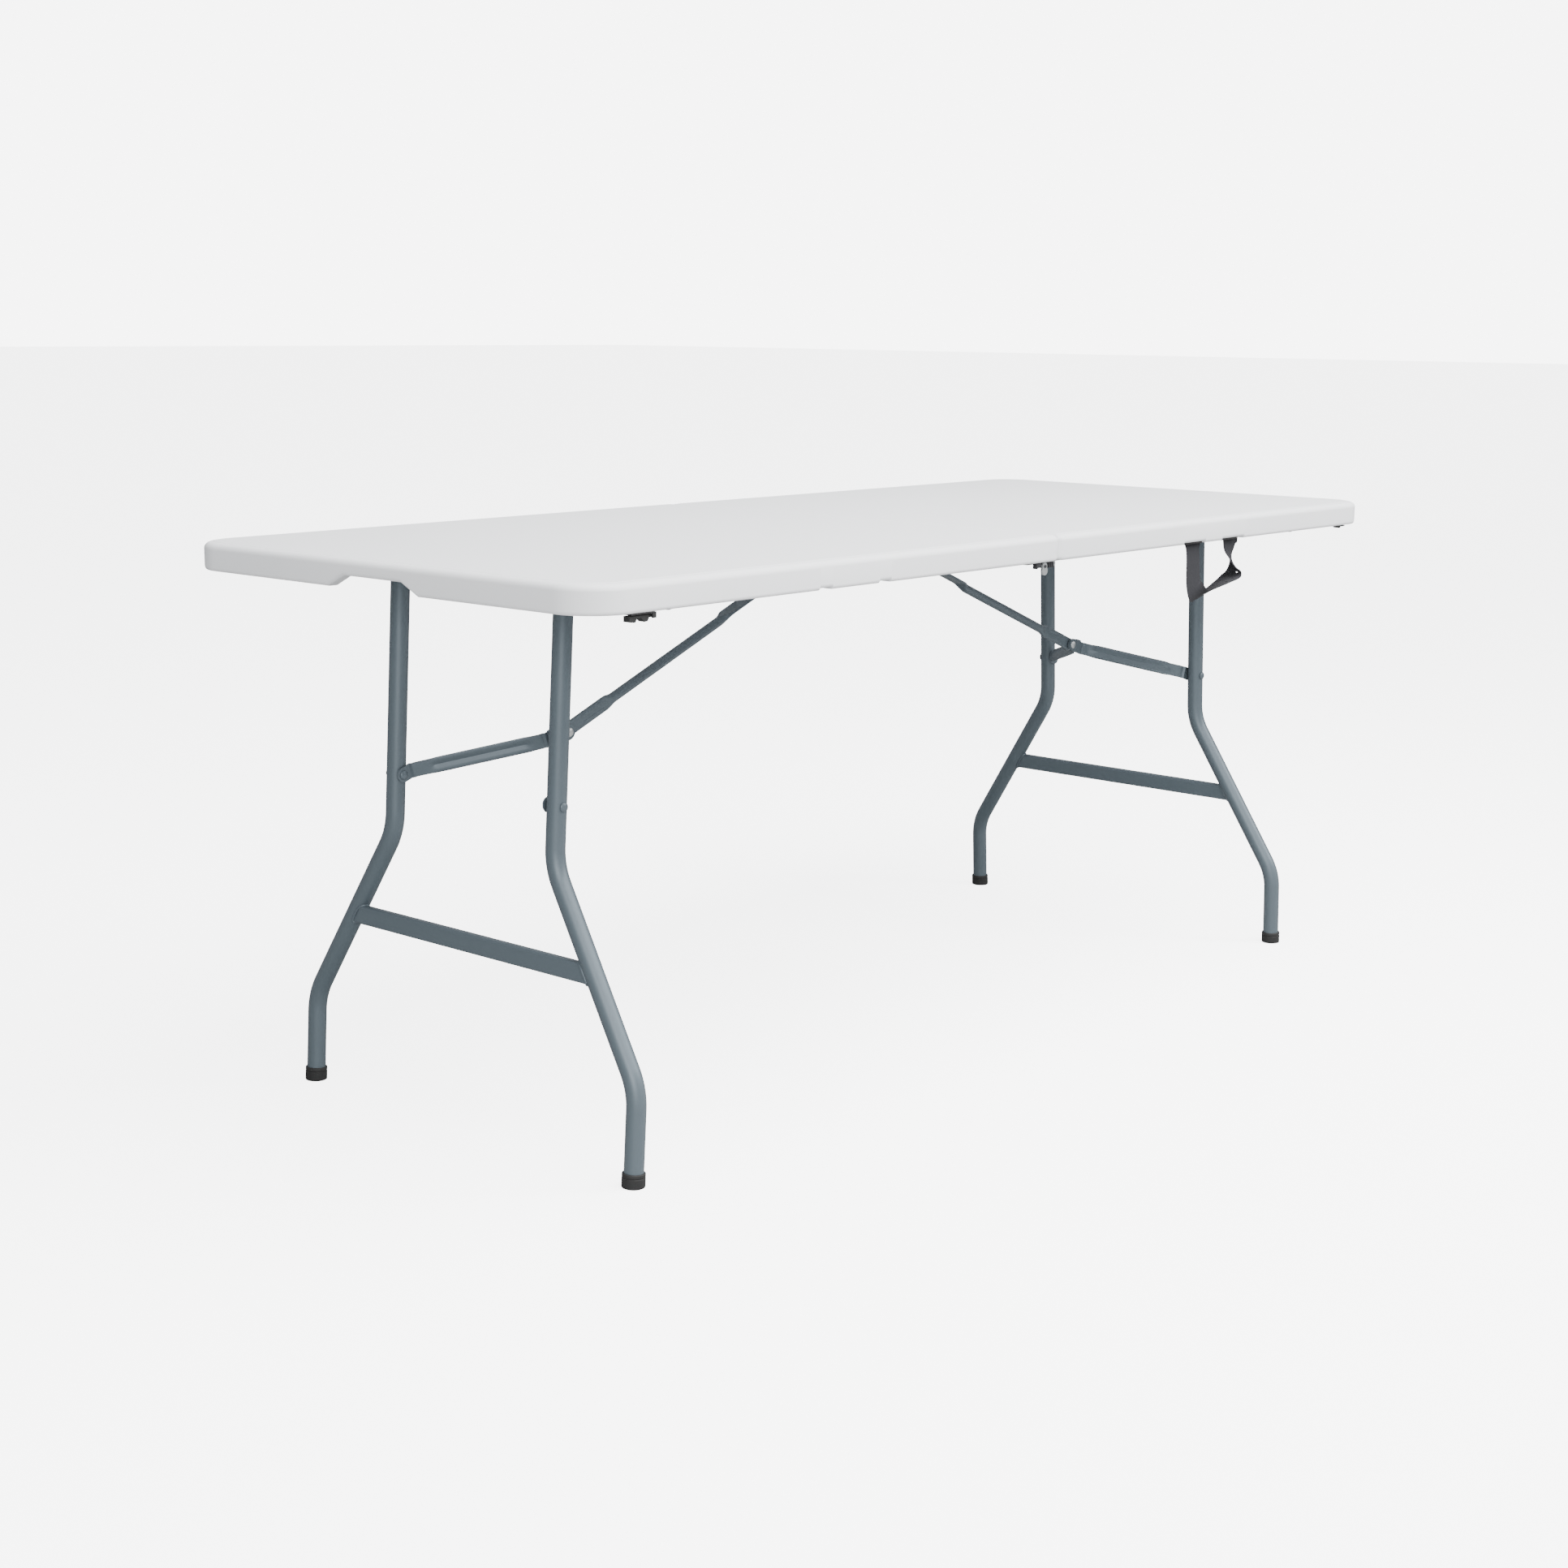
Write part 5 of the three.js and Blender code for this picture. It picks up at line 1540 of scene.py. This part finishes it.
# ---------------------------------------------------------------- studio
@dataclass
class Studio:
    """A pale floor, soft lamps and the camera."""

    camera_at: tuple[float, float, float] = (-2.67774, -2.17587, 1.02691)
    yaw: float = 0.8610
    pitch: float = -0.1965
    roll: float = 0.0096
    lens: float = 53.74
    sensor: float = 36.0
    floor_size: float = 60.0
    floor_colour: Colour = (0.9, 0.9, 0.9)
    floor_bounce: Colour = (0.34, 0.34, 0.34)
    backdrop: Colour = (1.0, 1.0, 1.0)
    backdrop_glow: float = 7.0
    floor_glow: float = 4.8
    sky: Colour = (0.93, 0.96, 1.0)
    sky_strength: float = 0.6
    aim: tuple[float, float, float] = (0.0, 0.0, 0.55)

    def build(self) -> None:
        """Builds the floor, the lamps, the sky and the camera."""
        self.build_floor()
        self.build_sky()
        self.lamp("fill", (-3.4, -2.6, 1.7), (2.2, 1.6), 110.0)
        self.lamp("top", (0.1, -1.5, 3.3), (3.6, 2.8), 330.0)
        self.lamp("streak", (2.5, -3.0, 2.2), (0.7, 0.7), 70.0)
        self.build_camera()

    def build_floor(self) -> None:
        """The floor, not part of the table."""
        bm = bmesh.new()
        bmesh.ops.create_grid(bm, x_segments=1, y_segments=1, size=self.floor_size)
        mesh = bpy.data.meshes.new("floor")
        bm.to_mesh(mesh)
        bm.free()
        floor = bpy.data.objects.new("floor", mesh)
        bpy.context.scene.collection.objects.link(floor)
        material = bpy.data.materials.new("floor")
        material.use_nodes = True
        shader = material.node_tree.nodes["Principled BSDF"]
        shader.inputs["Roughness"].default_value = 0.75
        shader.inputs["Emission Color"].default_value = rgba(self.backdrop)
        tree = Graph(material.node_tree)
        seen = tree.add("ShaderNodeLightPath").outputs["Is Camera Ray"]
        tree.feed(shader, "Base Color", tree.mix(seen, rgba(self.floor_bounce), rgba(self.floor_colour)))
        tree.feed(shader, "Emission Strength", tree.math("MULTIPLY", seen, self.floor_glow))
        mesh.materials.append(material)

    def build_sky(self) -> None:
        """An even pale surrounding."""
        world = bpy.data.worlds.new("studio")
        world.use_nodes = True
        background = world.node_tree.nodes["Background"]
        tree = Graph(world.node_tree)
        seen = tree.add("ShaderNodeLightPath").outputs["Is Camera Ray"]
        tree.feed(background, "Color", tree.mix(seen, rgba(self.sky), rgba(self.backdrop)))
        strength = tree.remap(seen, 0.0, 1.0, self.sky_strength, self.backdrop_glow, False)
        tree.feed(background, "Strength", strength)
        bpy.context.scene.world = world

    def lamp(self, name: str, at: Sequence[float], size: tuple[float, float], power: float) -> None:
        """A soft rectangular lamp aimed at the table."""
        data = bpy.data.lights.new(name, "AREA")
        data.shape = "RECTANGLE"
        data.size, data.size_y = size
        data.energy = power
        lamp = bpy.data.objects.new(name, data)
        lamp.location = at
        lamp.rotation_euler = (Vector(self.aim) - Vector(at)).to_track_quat("-Z", "Y").to_euler()
        bpy.context.scene.collection.objects.link(lamp)

    def build_camera(self) -> None:
        """The camera, turned by its yaw, pitch and roll."""
        out, level_share = math.sin(self.pitch), math.cos(self.pitch)
        forward = Vector((math.sin(self.yaw) * level_share, math.cos(self.yaw) * level_share, out))
        level = Vector((math.cos(self.yaw), -math.sin(self.yaw), 0.0))
        up = level.cross(forward)
        right = level * math.cos(self.roll) + up * math.sin(self.roll)
        over = -level * math.sin(self.roll) + up * math.cos(self.roll)
        data = bpy.data.cameras.new("camera")
        data.lens, data.sensor_width = self.lens, self.sensor
        data.clip_end = 100.0
        camera = bpy.data.objects.new("camera", data)
        turn = Matrix((right, over, -forward)).transposed().to_4x4()
        camera.matrix_world = Matrix.Translation(self.camera_at) @ turn
        bpy.context.scene.collection.objects.link(camera)
        bpy.context.scene.camera = camera


def main() -> None:
    """Builds the table and the studio in order."""
    logging.basicConfig(level=logging.INFO, format="%(message)s")
    Studio().build()
    for side in Side:
        for assembly in (MouldedHalf(side), Underframe(side), LegFrame(side), KneeBrace(side)):
            assembly.build()
    CarryStrap().build()
    Fittings().build()


if __name__ == "__main__":
    main()
